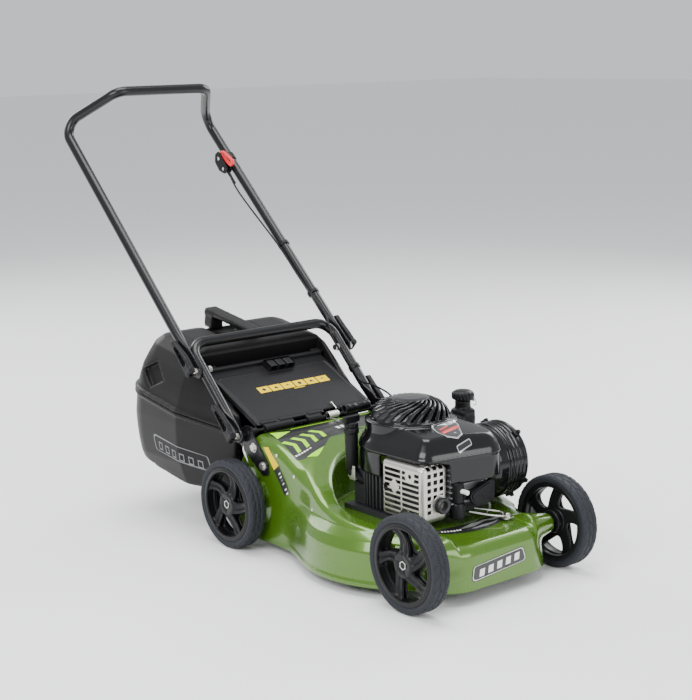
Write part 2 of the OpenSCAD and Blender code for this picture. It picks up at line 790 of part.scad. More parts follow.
module blower_plan(inset) {
    hull() {
        translate([0, crank_y]) circle(r = housing_r - inset, $fn = 96);
        translate([-66, 104]) circle(r = 38 - inset, $fn = 48);
        translate([64, 84]) circle(r = 44 - inset, $fn = 48);
    }
}

module blower_form(inset) {
    hull() {
        translate([0, 0, 214]) linear_extrude(60) blower_plan(inset);
        translate([0, 18, 300 - inset]) linear_extrude(1) offset(delta = -16) blower_plan(inset);
        translate([0, crank_y, 319 - inset]) linear_extrude(1) circle(r = starter_r + 4 - inset, $fn = 96);
    }
}

module blower_housing() {
    color(gloss_black) difference() {
        blower_form(0);
        translate([0, 0, -0.5]) blower_form(3);
        at_crank(200) cylinder(h = 200, r = 66);
        translate([-120, 60, 200]) cube([82, 144, 66]);
    }
}

// Slotted dome over the recoil starter
module starter_cover() {
    r = starter_r;
    color(plastic_black) at_crank(320.2) difference() {
        rotate_extrude($fn = 96) polygon([[r, 0], [r, 14], [r - 20, 38], [r - 46, 48], [0, 48], [0, 33], [r - 24, 33],
            [r - 24, 0]]);
        for (i = [0 : 11]) rotate([0, 0, i * 30]) translate([r - 30, -3, 6]) cube([40, 6, 22]);
    }
}

module starter_pulley() {
    color(plastic_black) at_crank(327) difference() {
        union() {
            cylinder(h = 4, r = 46);
            translate([0, 0, 4 - eps]) cylinder(h = 6, r = 38);
            translate([0, 0, 10 - 2 * eps]) cylinder(h = 4, r = 46);
        }
        translate([0, 0, -1]) cylinder(h = 20, r = 8);
    }
}

// T-grip on a short visible length of rope, drawn out of its guide towards the operator
grip_at = [-56, 340, 334];
pull_dir = unit([0, 0.8, 0.6]);

module starter_grip() {
    color(plastic_black) difference() {
        rod(grip_at + [-34, 0, 0], grip_at + [34, 0, 0], 10);
        rod(grip_at + [-36, 0, 0], grip_at + [-22, 0, 0], 5);
    }
    color(plastic_black) rod(grip_at - pull_dir * 16, grip_at - pull_dir * 4, 7);
}

module muffler() {
    color(dark_steel) {
        translate([-97, 84, 158]) cube([52, 76, 88]);
        translate([-58, 62, 172]) rotate([-90, 0, 0]) difference() {
            cylinder(h = 24, r = 13);
            translate([0, 0, -1]) cylinder(h = 20, r = 9);
        }
    }
}

module muffler_guard() {
    color([0.8, 0.8, 0.8]) difference() {
        translate([-108, 72, 136]) cube([72, 130, 122]);
        translate([-105.5, 74.5, 130]) cube([80, 140, 125.5]);
        for (i = [0 : 7]) translate([-110, 84 + (i % 2) * 6, 158 + i * 12]) cube([6, 88, 6]);
        for (i = [0 : 3], j = [0 : 6]) translate([-100 + i * 15, 70, 158 + j * 14]) cube([9, 6, 7]);
        translate([-58, 60, 172]) rotate([-90, 0, 0]) cylinder(h = 20, r = 16);
    }
}

filter_c = [0, 140, 217];

module air_filter_base() {
    color(plastic_black) translate(filter_c) difference() {
        union() {
            translate([110.5, 0, 0]) rotate([0, 90, 0]) cylinder(h = 24, r1 = filter_r - 10, r2 = filter_r);
            translate([0, -8, -24]) across_x(98.2, 111, 18);
            across_x(134 - eps, 140, filter_r + 4);
        }
        across_x(118, 150, filter_r - 14);
    }
}

module air_filter_element() {
    color([0.85, 0.8, 0.6]) translate(filter_c) difference() {
        across_x(120, 166, filter_r - 18);
        across_x(119, 167, 26);
        for (i = [0 : 23]) rotate([i * 15, 0, 0]) translate([118, filter_r - 22, -1]) cube([52, 6, 2]);
    }
}

module air_filter_cover() {
    color(plastic_black) translate(filter_c) difference() {
        union() {
            across_x(140.4, 178, filter_r + 1);
            for (x = [143, 154, 165]) across_x(x, x + 5, filter_r + 3);
            across_x(178 - eps, 184, filter_r + 3);
            translate([184 - 2 * eps, 0, 0]) rotate([0, 90, 0]) cylinder(h = 7, r1 = filter_r + 2, r2 = filter_r - 14);
        }
        across_x(130, 174, filter_r - 6);
    }
}

module carburettor() {
    color(dark_steel) {
        translate([69, 112, 176]) cube([28, 40, 34]);
        translate([84, 132, 150]) cylinder(h = 30, r = 14);
    }
}

module carburettor_cover() {
    color(plastic_black) {
        translate([-4, 40, 162]) cube([72, 10, 48]);
        translate([4, 49.9, 170]) cube([56, 12, 30]);
    }
}

tank_at = [112, 226, 232];
neck_at = [174, 248, 0];

module fuel_tank() {
    color(plastic_black) difference() {
        union() {
            translate(tank_at) cube([84, 74, 62]);
            translate(neck_at + [0, 0, tank_at.z + 62 - eps]) cylinder(h = 34, r = 17);
        }
        translate(tank_at + [4, 4, 4]) cube([76, 66, 54]);
        translate(neck_at + [0, 0, tank_at.z + 50]) cylinder(h = 60, r = 13);
    }
}

module fuel_cap() {
    color(plastic_black) translate(neck_at + [0, 0, tank_at.z + 96.3]) difference() {
        union() {
            cylinder(h = 19, r = 25);
            translate([0, 0, 19 - eps]) cylinder(h = 4, r1 = 25, r2 = 21);
            translate([0, 0, -12]) cylinder(h = 12.1, r = 12.9);
        }
        for (i = [0 : 23]) rotate([0, 0, i * 15]) translate([25.4, 0, -1]) cylinder(h = 30, r = 1.6);
    }
}

filler_at = [-104, 300, 0];

module oil_filler_tube() {
    color(plastic_black) difference() {
        union() {
            sweep(bent_line([filler_at + [0, 0, 297], filler_at + [0, 0, 205], [-62, 254, 164]], 18), 12, 32);
            translate(filler_at + [0, 0, 296]) cylinder(h = 8, r = 15);
        }
        translate(filler_at + [0, 0, 212]) cylinder(h = 150, r = 9);
        at_crank(pad_z) cylinder(h = 90, r = 78.4);
    }
}

module dipstick() {
    color(plastic_black) translate(filler_at + [0, 0, 304.3]) {
        cylinder(h = 16, r = 15);
        translate([-5, -20, 16 - eps]) cube([10, 40, 9]);
        translate([0, 0, -10]) cylinder(h = 10.1, r = 8.6);
        translate([-3, -0.7, -90]) cube([6, 1.4, 82]);
    }
}

module spark_plug() {
    color(steel) translate([-18, 64, pad_z + 73]) rotate([90, 0, 0]) {
        cylinder(h = 8, r = 9, $fn = 6);
        translate([0, 0, 8 - eps]) cylinder(h = 22, r = 5);
    }
}

// ---- What is built ----

placed() deck();
placed() front_axle_bosses();
placed() rear_axle_plates();
placed() axle_bolts();
placed() handle_brackets();
placed() bracket_bolts();
placed() flap_hinge_rod();
placed() flap_spring();
placed() engine_base();
placed() cylinder_block();
placed() blower_housing();
placed() starter_cover();
placed() muffler();
placed() muffler_guard();
placed() air_filter_base();
placed() air_filter_element();
placed() air_filter_cover();
placed() carburettor();
placed() carburettor_cover();
placed() fuel_tank();
placed() fuel_cap();
placed() oil_filler_tube();
placed() dipstick();
placed() engine_bolts();
placed() spark_plug();
placed() crankshaft();
placed() flywheel();
placed() blade_disc();
placed() blade_bolts();
placed() swing_blade(0);  // swing_blade_1
placed() swing_blade(1);  // swing_blade_2
placed() swing_blade(2);  // swing_blade_3
placed() swing_blade(3);  // swing_blade_4
placed() color(rubber_grey) wheel_at(-1, front_x, 0) tyre();  // tyre_front_right
placed() color(rubber_grey) wheel_at(1, front_x, 0) tyre();  // tyre_front_left
placed() color(rubber_grey) wheel_at(-1, rear_x, wheel_base) tyre();  // tyre_rear_right
placed() color(rubber_grey) wheel_at(1, rear_x, wheel_base) tyre();  // tyre_rear_left
placed() color(plastic_black) wheel_at(-1, front_x, 0) rim();  // rim_front_right
placed() color(plastic_black) wheel_at(1, front_x, 0) rim();  // rim_front_left
placed() color(plastic_black) wheel_at(-1, rear_x, wheel_base) rim();  // rim_rear_right
placed() color(plastic_black) wheel_at(1, rear_x, wheel_base) rim();  // rim_rear_left
placed() lower_handle();
placed() handle_pivot_bolts();
placed() lever_on(pivot, pivot_lever_x, leg_dir, -1) cam_lever();  // lower_cam_lever_right
placed() lever_on(pivot, pivot_lever_x, leg_dir, 1) cam_lever();  // lower_cam_lever_left
placed() upper_handle();
placed() lever_on(fold, fold_lever_x, up_dir, -1) cam_lever();  // upper_cam_lever_right
placed() lever_on(fold, fold_lever_x, up_dir, 1) cam_lever();  // upper_cam_lever_left
placed() throttle_housing();
placed() throttle_lever();
placed() throttle_cable_upper();
placed() throttle_cable_lower();
placed() flap();
placed() flap_rod();
placed() catcher_top();
placed() catcher_base();
placed() starter_grip();
placed() starter_pulley();
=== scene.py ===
import bpy
import bmesh
import math
import numpy as np
from mathutils import Vector, Matrix
from mathutils.bvhtree import BVHTree
from mathutils.geometry import delaunay_2d_cdt


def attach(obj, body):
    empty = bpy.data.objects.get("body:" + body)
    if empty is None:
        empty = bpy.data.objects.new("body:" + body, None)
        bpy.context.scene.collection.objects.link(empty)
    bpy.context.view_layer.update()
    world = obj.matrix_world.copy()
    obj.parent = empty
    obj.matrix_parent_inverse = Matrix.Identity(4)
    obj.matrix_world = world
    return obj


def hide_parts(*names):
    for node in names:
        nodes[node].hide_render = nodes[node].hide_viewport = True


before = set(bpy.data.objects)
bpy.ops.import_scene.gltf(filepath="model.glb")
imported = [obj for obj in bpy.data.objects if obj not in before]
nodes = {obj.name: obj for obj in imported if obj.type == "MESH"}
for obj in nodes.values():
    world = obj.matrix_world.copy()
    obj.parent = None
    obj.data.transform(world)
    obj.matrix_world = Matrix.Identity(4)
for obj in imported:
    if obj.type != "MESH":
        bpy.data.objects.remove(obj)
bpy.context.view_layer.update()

# Shapes are worked out in millimetres with y measured back from the front axle; placing them
# subtracts SHIFT and turns them into metres.
SHIFT = np.array([0.0, 579.81, 0.0])
PIVOT = np.array([204.0, 572.0, 250.0])
FOLD = np.array([217.0, 705.0, 380.0])
GRIP_CORNER = np.array([213.0, 1270.0, 915.0])
GRIP_END = np.array([131.0, 1140.0, 998.0])
BAR_CORNER = np.array([204.0, 758.0, 434.0])
HINGE = np.array([0.0, 548.0, 262.0])
CRANK_Y = 228
WHEEL_Z = 100
REAR_AXLE_Y = 575
ARCH_R = WHEEL_Z + 6
FILLER = (-104, 300)
TANK_NECK = (174, 248)
ROPE_GRIP = (340, 334)
FLAP_SLOPE = math.radians(25)
BAG_AT = np.array([0.0, 612.0, 247.0])
BAG_TILT = math.radians(9)


def unit(v):
    v = np.asarray(v, float)
    return v / np.linalg.norm(v)


def mirror(v):
    return np.asarray(v, float) * [-1, 1, 1]


LEG_DIR = unit(BAR_CORNER - PIVOT)
UP_DIR = unit([0, GRIP_CORNER[1] - FOLD[1], GRIP_CORNER[2] - FOLD[2]])
UP_SIDE = np.cross([1, 0, 0], UP_DIR)
UPPER_START = FOLD + UP_DIR * 44 + [2, 0, 0]


# ---- Materials ----

M = {}


def material(name, color, rough=0.5, metal=0.0, coat=0.0, grain=0.0, grain_size=0.6, mottle=0.0, spec=0.5):
    """A material with an even colour, a fine grain in the surface and a faint mottle in the gloss."""
    m = bpy.data.materials.new(name)
    m.use_nodes = True
    tree = m.node_tree
    bsdf = tree.nodes["Principled BSDF"]
    bsdf.inputs["Base Color"].default_value = (*color, 1)
    bsdf.inputs["Roughness"].default_value = rough
    bsdf.inputs["Metallic"].default_value = metal
    bsdf.inputs["Coat Weight"].default_value = coat
    bsdf.inputs["Coat Roughness"].default_value = 0.06
    bsdf.inputs["Specular IOR Level"].default_value = spec
    coord = tree.nodes.new("ShaderNodeTexCoord")
    if grain:
        noise = tree.nodes.new("ShaderNodeTexNoise")
        noise.inputs["Scale"].default_value = 1000 / grain_size
        noise.inputs["Detail"].default_value = 3
        bump = tree.nodes.new("ShaderNodeBump")
        bump.inputs["Strength"].default_value = grain
        bump.inputs["Distance"].default_value = 0.0002
        tree.links.new(coord.outputs["Object"], noise.inputs["Vector"])
        tree.links.new(noise.outputs["Fac"], bump.inputs["Height"])
        tree.links.new(bump.outputs["Normal"], bsdf.inputs["Normal"])
    if mottle:
        cloud = tree.nodes.new("ShaderNodeTexNoise")
        cloud.inputs["Scale"].default_value = 14
        cloud.inputs["Detail"].default_value = 5
        spread = tree.nodes.new("ShaderNodeMapRange")
        spread.inputs["To Min"].default_value = rough - mottle
        spread.inputs["To Max"].default_value = rough + mottle
        tree.links.new(coord.outputs["Object"], cloud.inputs["Vector"])
        tree.links.new(cloud.outputs["Fac"], spread.inputs["Value"])
        tree.links.new(spread.outputs["Result"], bsdf.inputs["Roughness"])
    M[name] = m


material("deck_paint", (0.066, 0.158, 0.006), 0.27, 0.40, 0.7, mottle=0.03)
material("black_paint", (0.005, 0.005, 0.006), 0.27, 0, 0.0, grain=0.10, grain_size=2.5, spec=0.36)
material("black_plastic", (0.006, 0.006, 0.007), 0.38, grain=0.25, mottle=0.05, spec=0.20)
material("catcher_plastic", (0.009, 0.0085, 0.0085), 0.42, grain=0.35, mottle=0.06, spec=0.20)
material("shroud_plastic", (0.004, 0.004, 0.005), 0.15, 0, 0.0, mottle=0.03, spec=0.40)
material("flap_plastic", (0.007, 0.007, 0.008), 0.44, grain=0.3, mottle=0.05, spec=0.20)
material("wheel_plastic", (0.006, 0.006, 0.007), 0.36, grain=0.2, mottle=0.05, spec=0.24)
material("rubber", (0.020, 0.022, 0.027), 0.62, grain=0.4, mottle=0.06, spec=0.2)
material("zinc_steel", (0.62, 0.61, 0.58), 0.28, 1.0, grain=0.1)
material("dark_steel", (0.035, 0.035, 0.038), 0.45, 0.4, grain=0.3)
material("cast_alloy", (0.30, 0.30, 0.31), 0.5, 0.9, grain=0.6, grain_size=1.5)
material("guard_alloy", (0.56, 0.54, 0.50), 0.34, 0.85, grain=0.3, mottle=0.05)
material("red_plastic", (0.72, 0.018, 0.022), 0.33, 0, 0.3)
material("filter_paper", (0.75, 0.68, 0.45), 0.8)
material("ceramic", (0.8, 0.8, 0.78), 0.3)
material("label_yellow", (0.80, 0.56, 0.0), 0.5, spec=0.1)
material("label_black", (0.010, 0.011, 0.011), 0.3, 0, 0.4)
material("label_lime", (0.34, 0.78, 0.01), 0.45, spec=0.2)
material("label_white", (0.78, 0.78, 0.76), 0.35, 0, 0.3)
material("label_grey", (0.16, 0.16, 0.17), 0.4)
material("label_silver", (0.62, 0.62, 0.62), 0.25, 0.8)
material("label_red", (0.65, 0.03, 0.03), 0.3, 0, 0.4)


# ---- Mesh building ----

def place(pts):
    """Millimetres to the scene's metres."""
    return (np.asarray(pts, float) - SHIFT) / 1000


def piece(name, pts, faces, mat, body, replaces=(), flat=False, bevel=0.0, angle=40):
    """A mesh object from points in millimetres, riding on a body."""
    mesh = bpy.data.meshes.new(name)
    mesh.from_pydata(place(pts).tolist(), [], [list(map(int, f)) for f in faces])
    mesh.validate()
    mesh.update()
    obj = bpy.data.objects.new(name, mesh)
    bpy.context.scene.collection.objects.link(obj)
    mesh.materials.append(M[mat])
    if not flat:
        mesh.shade_smooth()
        if angle < 180:
            mesh.set_sharp_from_angle(angle=math.radians(angle))
    if bevel:
        add_bevel(obj, bevel)
    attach(obj, body)
    if replaces:
        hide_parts(*replaces)
    return obj


def add_bevel(obj, width, segments=3):
    mod = obj.modifiers.new("edge", "BEVEL")
    mod.width = width / 1000
    mod.segments = segments
    mod.limit_method = "ANGLE"
    mod.angle_limit = math.radians(35)
    mod.use_clamp_overlap = True
    mod.harden_normals = True


def join(*parts):
    """Several (points, faces) as one."""
    pts, faces, at = [], [], 0
    for p, f in parts:
        pts.append(np.asarray(p, float))
        faces += [[i + at for i in q] for q in f]
        at += len(p)
    return np.concatenate(pts), faces


def turned(shape, x=None, flip=False):
    """The same shape moved by x, or mirrored left to right."""
    p, f = shape
    p = np.array(p, float)
    if flip:
        p = p * [-1, 1, 1]
        f = [list(q)[::-1] for q in f]
    if x is not None:
        p = p + x
    return p, f


def stand(p, x, z):
    """Local axes: z along z, x as near to x as it can be, at point p."""
    z = unit(z)
    y = unit(np.cross(z, x))
    return np.array(p, float), np.stack([np.cross(y, z), y, z])


def through(frame_at, shape):
    p0, axes = frame_at
    return np.asarray(shape[0]) @ axes + p0, shape[1]


def lathe(profile, n=96):
    """Turns (radius, height) points round local Z."""
    prof = np.asarray(profile, float)
    ang = np.radians(360.0 * np.arange(n) / n)
    pts = np.stack([np.outer(np.cos(ang), prof[:, 0]), np.outer(np.sin(ang), prof[:, 0]),
                    np.tile(prof[:, 1], (n, 1))], -1).reshape(-1, 3)
    m = len(prof)
    faces = []
    for i in range(n):
        a, b = i * m, ((i + 1) % n) * m
        faces += [[a + j, b + j, b + j + 1, a + j + 1] for j in range(m - 1)]
    return pts, faces


def rounded(points, radius, steps=4):
    """A polyline with its inner corners rounded; radius may be one number or one for each point."""
    p = np.asarray(points, float)
    r = np.broadcast_to(radius, len(p))
    out = [p[0]]
    for i in range(1, len(p) - 1):
        a, b = unit(p[i - 1] - p[i]), unit(p[i + 1] - p[i])
        half = math.acos(np.clip(a @ b, -1, 1)) / 2
        if r[i] <= 0 or half > 1.54:
            out.append(p[i])
            continue
        back = min(r[i] / math.tan(half), 0.49 * np.linalg.norm(p[i - 1] - p[i]),
                   0.49 * np.linalg.norm(p[i + 1] - p[i]))
        s, e = p[i] + a * back, p[i] + b * back
        for t in np.linspace(0, 1, steps + 1):
            out.append(s * (1 - t) ** 2 + 2 * p[i] * t * (1 - t) + e * t * t)
    out.append(p[-1])
    return np.array(out)


def closed(points, radius, steps=4):
    """A closed outline with rounded corners."""
    p = list(points)
    return rounded(p + p[:2], radius, steps)[1:-1]


def scaled(outline, k):
    """An outline made smaller or larger round the mean of its points."""
    middle = outline.mean(0)
    return (outline - middle) * k + middle


def smooth_line(points):
    """Catmull-Rom through points."""
    steps = 8
    p = np.asarray(points, float)
    out = []
    for i in range(len(p) - 1):
        a, b, c, d = p[max(i - 1, 0)], p[i], p[i + 1], p[min(i + 2, len(p) - 1)]
        for t in np.arange(steps) / steps:
            out.append(0.5 * (2 * b + (c - a) * t + (2 * a - 5 * b + 4 * c - d) * t * t
                              + (3 * b - a - 3 * c + d) * t ** 3))
    out.append(p[-1])
    return np.array(out)


def bent_line(points, bend, step=5):
    """Straight runs joined by true arcs of one radius."""
    p = np.asarray(points, float)
    out = [p[0]]
    for i in range(1, len(p) - 1):
        d1, d2 = unit(p[i] - p[i - 1]), unit(p[i + 1] - p[i])
        turn = math.acos(np.clip(d1 @ d2, -1, 1))
        inward = np.cross(unit(np.cross(d1, d2)), d1)
        start = p[i] - d1 * bend * math.tan(turn / 2)
        for t in np.linspace(0, turn, max(3, int(math.degrees(turn) / step))):
            out.append(start + bend * (inward * (1 - math.cos(t)) + d1 * math.sin(t)))
    out.append(p[-1])
    return np.array(out)


def tube(line, r, sides=24, up=(0, -0.69, 0.72), shape=None):
    """A bar along a line. r is a radius or one for each point; shape(pts) may press the rings of points."""
    line = np.asarray(line, float)
    n = len(line)
    r = np.broadcast_to(r, n)
    d = np.gradient(line, axis=0)
    d /= np.linalg.norm(d, axis=1)[:, None]
    u = np.cross(np.asarray(up, float), d)
    u /= np.linalg.norm(u, axis=1)[:, None]
    v = np.cross(d, u)
    ang = np.arange(sides) * 2 * math.pi / sides
    ring = np.cos(ang)[None, :, None] * u[:, None] + np.sin(ang)[None, :, None] * v[:, None]
    pts = line[:, None] + r[:, None, None] * ring
    if shape is not None:
        pts = shape(pts)
    pts = pts.reshape(-1, 3)
    faces = [[i * sides + k, i * sides + (k + 1) % sides, (i + 1) * sides + (k + 1) % sides,
              (i + 1) * sides + k]
             for i in range(n - 1) for k in range(sides)]
    faces.append(list(range(sides))[::-1])
    faces.append([(n - 1) * sides + k for k in range(sides)])
    return pts, faces


def prism(outline, z0, z1):
    """A closed outline in local XY between two heights."""
    o = np.asarray(outline, float)
    if 0.5 * np.sum(o[:, 0] * np.roll(o[:, 1], -1) - np.roll(o[:, 0], -1) * o[:, 1]) < 0:
        o = o[::-1]
    n = len(o)
    pts = np.concatenate([np.c_[o, np.full(n, z0)], np.c_[o, np.full(n, z1)]])
    faces = [[i, (i + 1) % n, n + (i + 1) % n, n + i] for i in range(n)]
    faces += [list(range(n))[::-1], list(range(n, 2 * n))]
    return pts, faces


def block(lo, hi):
    return prism([(lo[0], lo[1]), (hi[0], lo[1]), (hi[0], hi[1]), (lo[0], hi[1])], lo[2], hi[2])


def round_rect(x0, y0, x1, y1, r, n=6):
    out = []
    corners = ((x1 - r, y1 - r, 0), (x0 + r, y1 - r, 90), (x0 + r, y0 + r, 180), (x1 - r, y0 + r, 270))
    for cx, cy, a0 in corners:
        for k in range(n + 1):
            a = math.radians(a0 + 90 * k / n)
            out.append((cx + r * math.cos(a), cy + r * math.sin(a)))
    return out


def circle(x, y, r, n=32):
    a = np.arange(n) * 2 * math.pi / n
    return np.c_[x + r * np.cos(a), y + r * np.sin(a)]


def along(p0, p1, profile, n):
    """A turned profile from p0 towards p1; profile(h) is given the distance between them."""
    p0, p1 = np.asarray(p0, float), np.asarray(p1, float)
    h = np.linalg.norm(p1 - p0)
    axis = (p1 - p0) / h
    ref = [1, 0, 0] if abs(axis[0]) < 0.9 else [0, 1, 0]
    return through(stand(p0, ref, axis), lathe(profile(h), n))


def cyl(p0, p1, r, n=48, r2=None, edge=0.8):
    """A cylinder or cone between two points with softened rims."""
    r2 = r if r2 is None else r2

    def profile(h):
        e = min(edge, r / 3, h / 3)
        return [(0, 0), (r - e, 0), (r, e), (r2, h - e), (r2 - e, h), (0, h)]
    return along(p0, p1, profile, n)


def bolt(p0, p1, r):
    """A hexagon head between two points, with a chamfered crown."""
    return along(p0, p1, lambda h: [(0, 0), (r, 0), (r, h * 0.8), (r * 0.86, h), (0, h)], 6)


# ---- Shapes from a distance field ----

def smin(a, b, k):
    """The smaller of two distances, blended over k."""
    h = np.clip(0.5 + 0.5 * (b - a) / k, 0, 1)
    return b * (1 - h) + a * h - k * h * (1 - h)


def smax(a, b, k):
    return -smin(-a, -b, k)


def sd_box(x, y, z, lo, hi, r=0.0):
    """Distance to a box between two corners, with edges rounded by r."""
    q = [np.abs(v - (a + b) / 2) - (b - a) / 2 + r for v, a, b in zip((x, y, z), lo, hi)]
    out = np.sqrt(sum(np.maximum(v, 0) ** 2 for v in q))
    return out + np.minimum(np.maximum(np.maximum(q[0], q[1]), q[2]), 0) - r


def sd_cyl(a, b, h, c, r, lo, hi, edge=0.0):
    """Distance to a cylinder round (c) in the plane (a, b) and between lo and hi along h."""
    q0 = np.hypot(a - c[0], b - c[1]) - r + edge
    q1 = np.abs(h - (lo + hi) / 2) - (hi - lo) / 2 + edge
    return np.hypot(np.maximum(q0, 0), np.maximum(q1, 0)) + np.minimum(np.maximum(q0, q1), 0) - edge


def sd_poly(x, y, poly):
    """Signed distance to a closed polygon."""
    p = np.asarray(poly, float)
    d = np.full(np.shape(x), 1e9)
    inside = np.zeros(np.shape(x), bool)
    for a, b in zip(p, np.roll(p, -1, 0)):
        ex, ey = b - a
        wx, wy = x - a[0], y - a[1]
        t = np.clip((wx * ex + wy * ey) / (ex * ex + ey * ey), 0, 1)
        d = np.minimum(d, np.hypot(wx - ex * t, wy - ey * t))
        if ey:
            cross = ((a[1] > y) != (b[1] > y)) & (x < ex * (y - a[1]) / ey + a[0])
            inside ^= cross
    return np.where(inside, -d, d)


def nets(f, lo, hi, step):
    """A quad mesh of the surface f = 0, with its points drawn onto the surface."""
    lo = np.asarray(lo, float)
    n = np.ceil((np.asarray(hi) - lo) / step).astype(int) + 1
    grid = np.meshgrid(*[lo[i] + step * np.arange(n[i]) for i in range(3)], indexing="ij")
    val = f(*grid)
    inside = val < 0

    def corner(a, d):
        return a[d[0]:n[0] - 1 + d[0], d[1]:n[1] - 1 + d[1], d[2]:n[2] - 1 + d[2]]

    total = np.zeros(tuple(n - 1) + (3,))
    count = np.zeros(tuple(n - 1))
    for axis in range(3):
        for k in range(4):
            a = [0, 0, 0]
            others = [o for o in range(3) if o != axis]
            a[others[0]], a[others[1]] = k & 1, k >> 1
            b = list(a)
            b[axis] = 1
            fa, fb = corner(val, a), corner(val, b)
            hit = (fa < 0) != (fb < 0)
            t = np.where(hit, fa / np.where(hit, fa - fb, 1), 0)
            for c in range(3):
                total[..., c] += np.where(hit, a[c] + (t if c == axis else 0), 0)
            count += hit
    live = count > 0
    index = np.full(live.shape, -1)
    index[live] = np.arange(live.sum())
    pts = (np.argwhere(live) + total[live] / count[live][:, None]) * step + lo
    quads = []
    for axis in range(3):
        o = [k for k in range(3) if k != axis]
        near = [slice(0, n[k] - 1) if k == axis else slice(1, n[k] - 1) for k in range(3)]
        far = list(near)
        far[axis] = slice(1, n[axis])
        a, b = inside[tuple(near)], inside[tuple(far)]
        for flip, hit in ((0, a & ~b), (1, ~a & b)):
            e = np.argwhere(hit)
            if not len(e):
                continue
            e[:, o] += 1
            ring = []
            for du, dv in ((0, 0), (1, 0), (1, 1), (0, 1)):
                q = e.copy()
                q[:, o[0]] -= du
                q[:, o[1]] -= dv
                ring.append(index[q[:, 0], q[:, 1], q[:, 2]])
            ring = np.stack(ring, 1)
            quads.append(ring[:, ::-1] if flip ^ (axis == 1) else ring)
    faces = np.concatenate(quads)
    ends = np.concatenate([faces[:, [k, (k + 1) % 4]] for k in range(4)])
    ends = np.concatenate([ends, ends[:, ::-1]])
    load = np.maximum(np.bincount(ends[:, 0], minlength=len(pts)), 1)
    h = step * 0.1
    for turn in range(5):
        if 0 < turn < 4:
            mean = np.stack([np.bincount(ends[:, 0], pts[ends[:, 1], c], len(pts)) for c in range(3)],
                            1) / load[:, None]
            pts = pts + 0.5 * (mean - pts)
        x, y, z = pts.T
        v = f(x, y, z)
        g = np.stack([f(x + h, y, z) - f(x - h, y, z), f(x, y + h, z) - f(x, y - h, z),
                      f(x, y, z + h) - f(x, y, z - h)], 1) / (2 * h)
        move = v[:, None] * g / np.maximum((g * g).sum(1), 0.2)[:, None]
        size = np.linalg.norm(move, axis=1)[:, None]
        pts = pts - move * np.minimum(1, 0.6 * step / np.maximum(size, 1e-9))
    return pts, faces


def plan_field(poly, lo, hi, step=1.0):
    """The distance to a polygon, worked out once on a grid and read back smoothly."""
    n = [int((b - a) / step) + 2 for a, b in zip(lo, hi)]
    gx, gy = np.meshgrid(lo[0] + step * np.arange(n[0]), lo[1] + step * np.arange(n[1]), indexing="ij")
    table = sd_poly(gx, gy, poly)

    def read(x, y):
        u = np.clip((x - lo[0]) / step, 0, n[0] - 1.001)
        v = np.clip((y - lo[1]) / step, 0, n[1] - 1.001)
        i, j = u.astype(int), v.astype(int)
        s, t = u - i, v - j
        return ((table[i, j] * (1 - s) + table[i + 1, j] * s) * (1 - t)
                + (table[i, j + 1] * (1 - s) + table[i + 1, j + 1] * s) * t)
    return read


def cut(shape, planes, drop_far=False, inside=None):
    """Edges are cut along (point, normal) planes. What lies beyond a plane goes with drop_far. Faces whose
    middle satisfies inside() go too. The cuts are left open."""
    bm = bmesh.new()
    vs = [bm.verts.new(p) for p in shape[0]]
    for f in shape[1]:
        bm.faces.new([vs[i] for i in f])
    for at, normal in planes:
        bmesh.ops.bisect_plane(bm, geom=bm.verts[:] + bm.edges[:] + bm.faces[:], dist=1e-4, plane_co=at,
                               plane_no=normal, clear_outer=drop_far)
    if inside:
        gone = [f for f in bm.faces if inside(np.array(f.calc_center_median()))]
        bmesh.ops.delete(bm, geom=gone, context="FACES")
    bm.verts.index_update()
    out = np.array([v.co[:] for v in bm.verts]), [[v.index for v in f.verts] for f in bm.faces]
    bm.free()
    return out


def add_wall(obj, thickness):
    mod = obj.modifiers.new("wall", "SOLIDIFY")
    mod.thickness = thickness / 1000
    mod.offset = -1
    mod.use_even_offset = False


def bvh(shape):
    return BVHTree.FromPolygons([tuple(p) for p in shape[0]], [tuple(map(int, f)) for f in shape[1]])


def finer(outline, step):
    """A closed outline with no edge longer than step."""
    o = np.asarray(outline, float)
    out = []
    for a, b in zip(o, np.roll(o, -1, 0)):
        n = max(1, int(np.ceil(np.linalg.norm(b - a) / step)))
        out += [a + (b - a) * t / n for t in range(n)]
    return np.array(out)


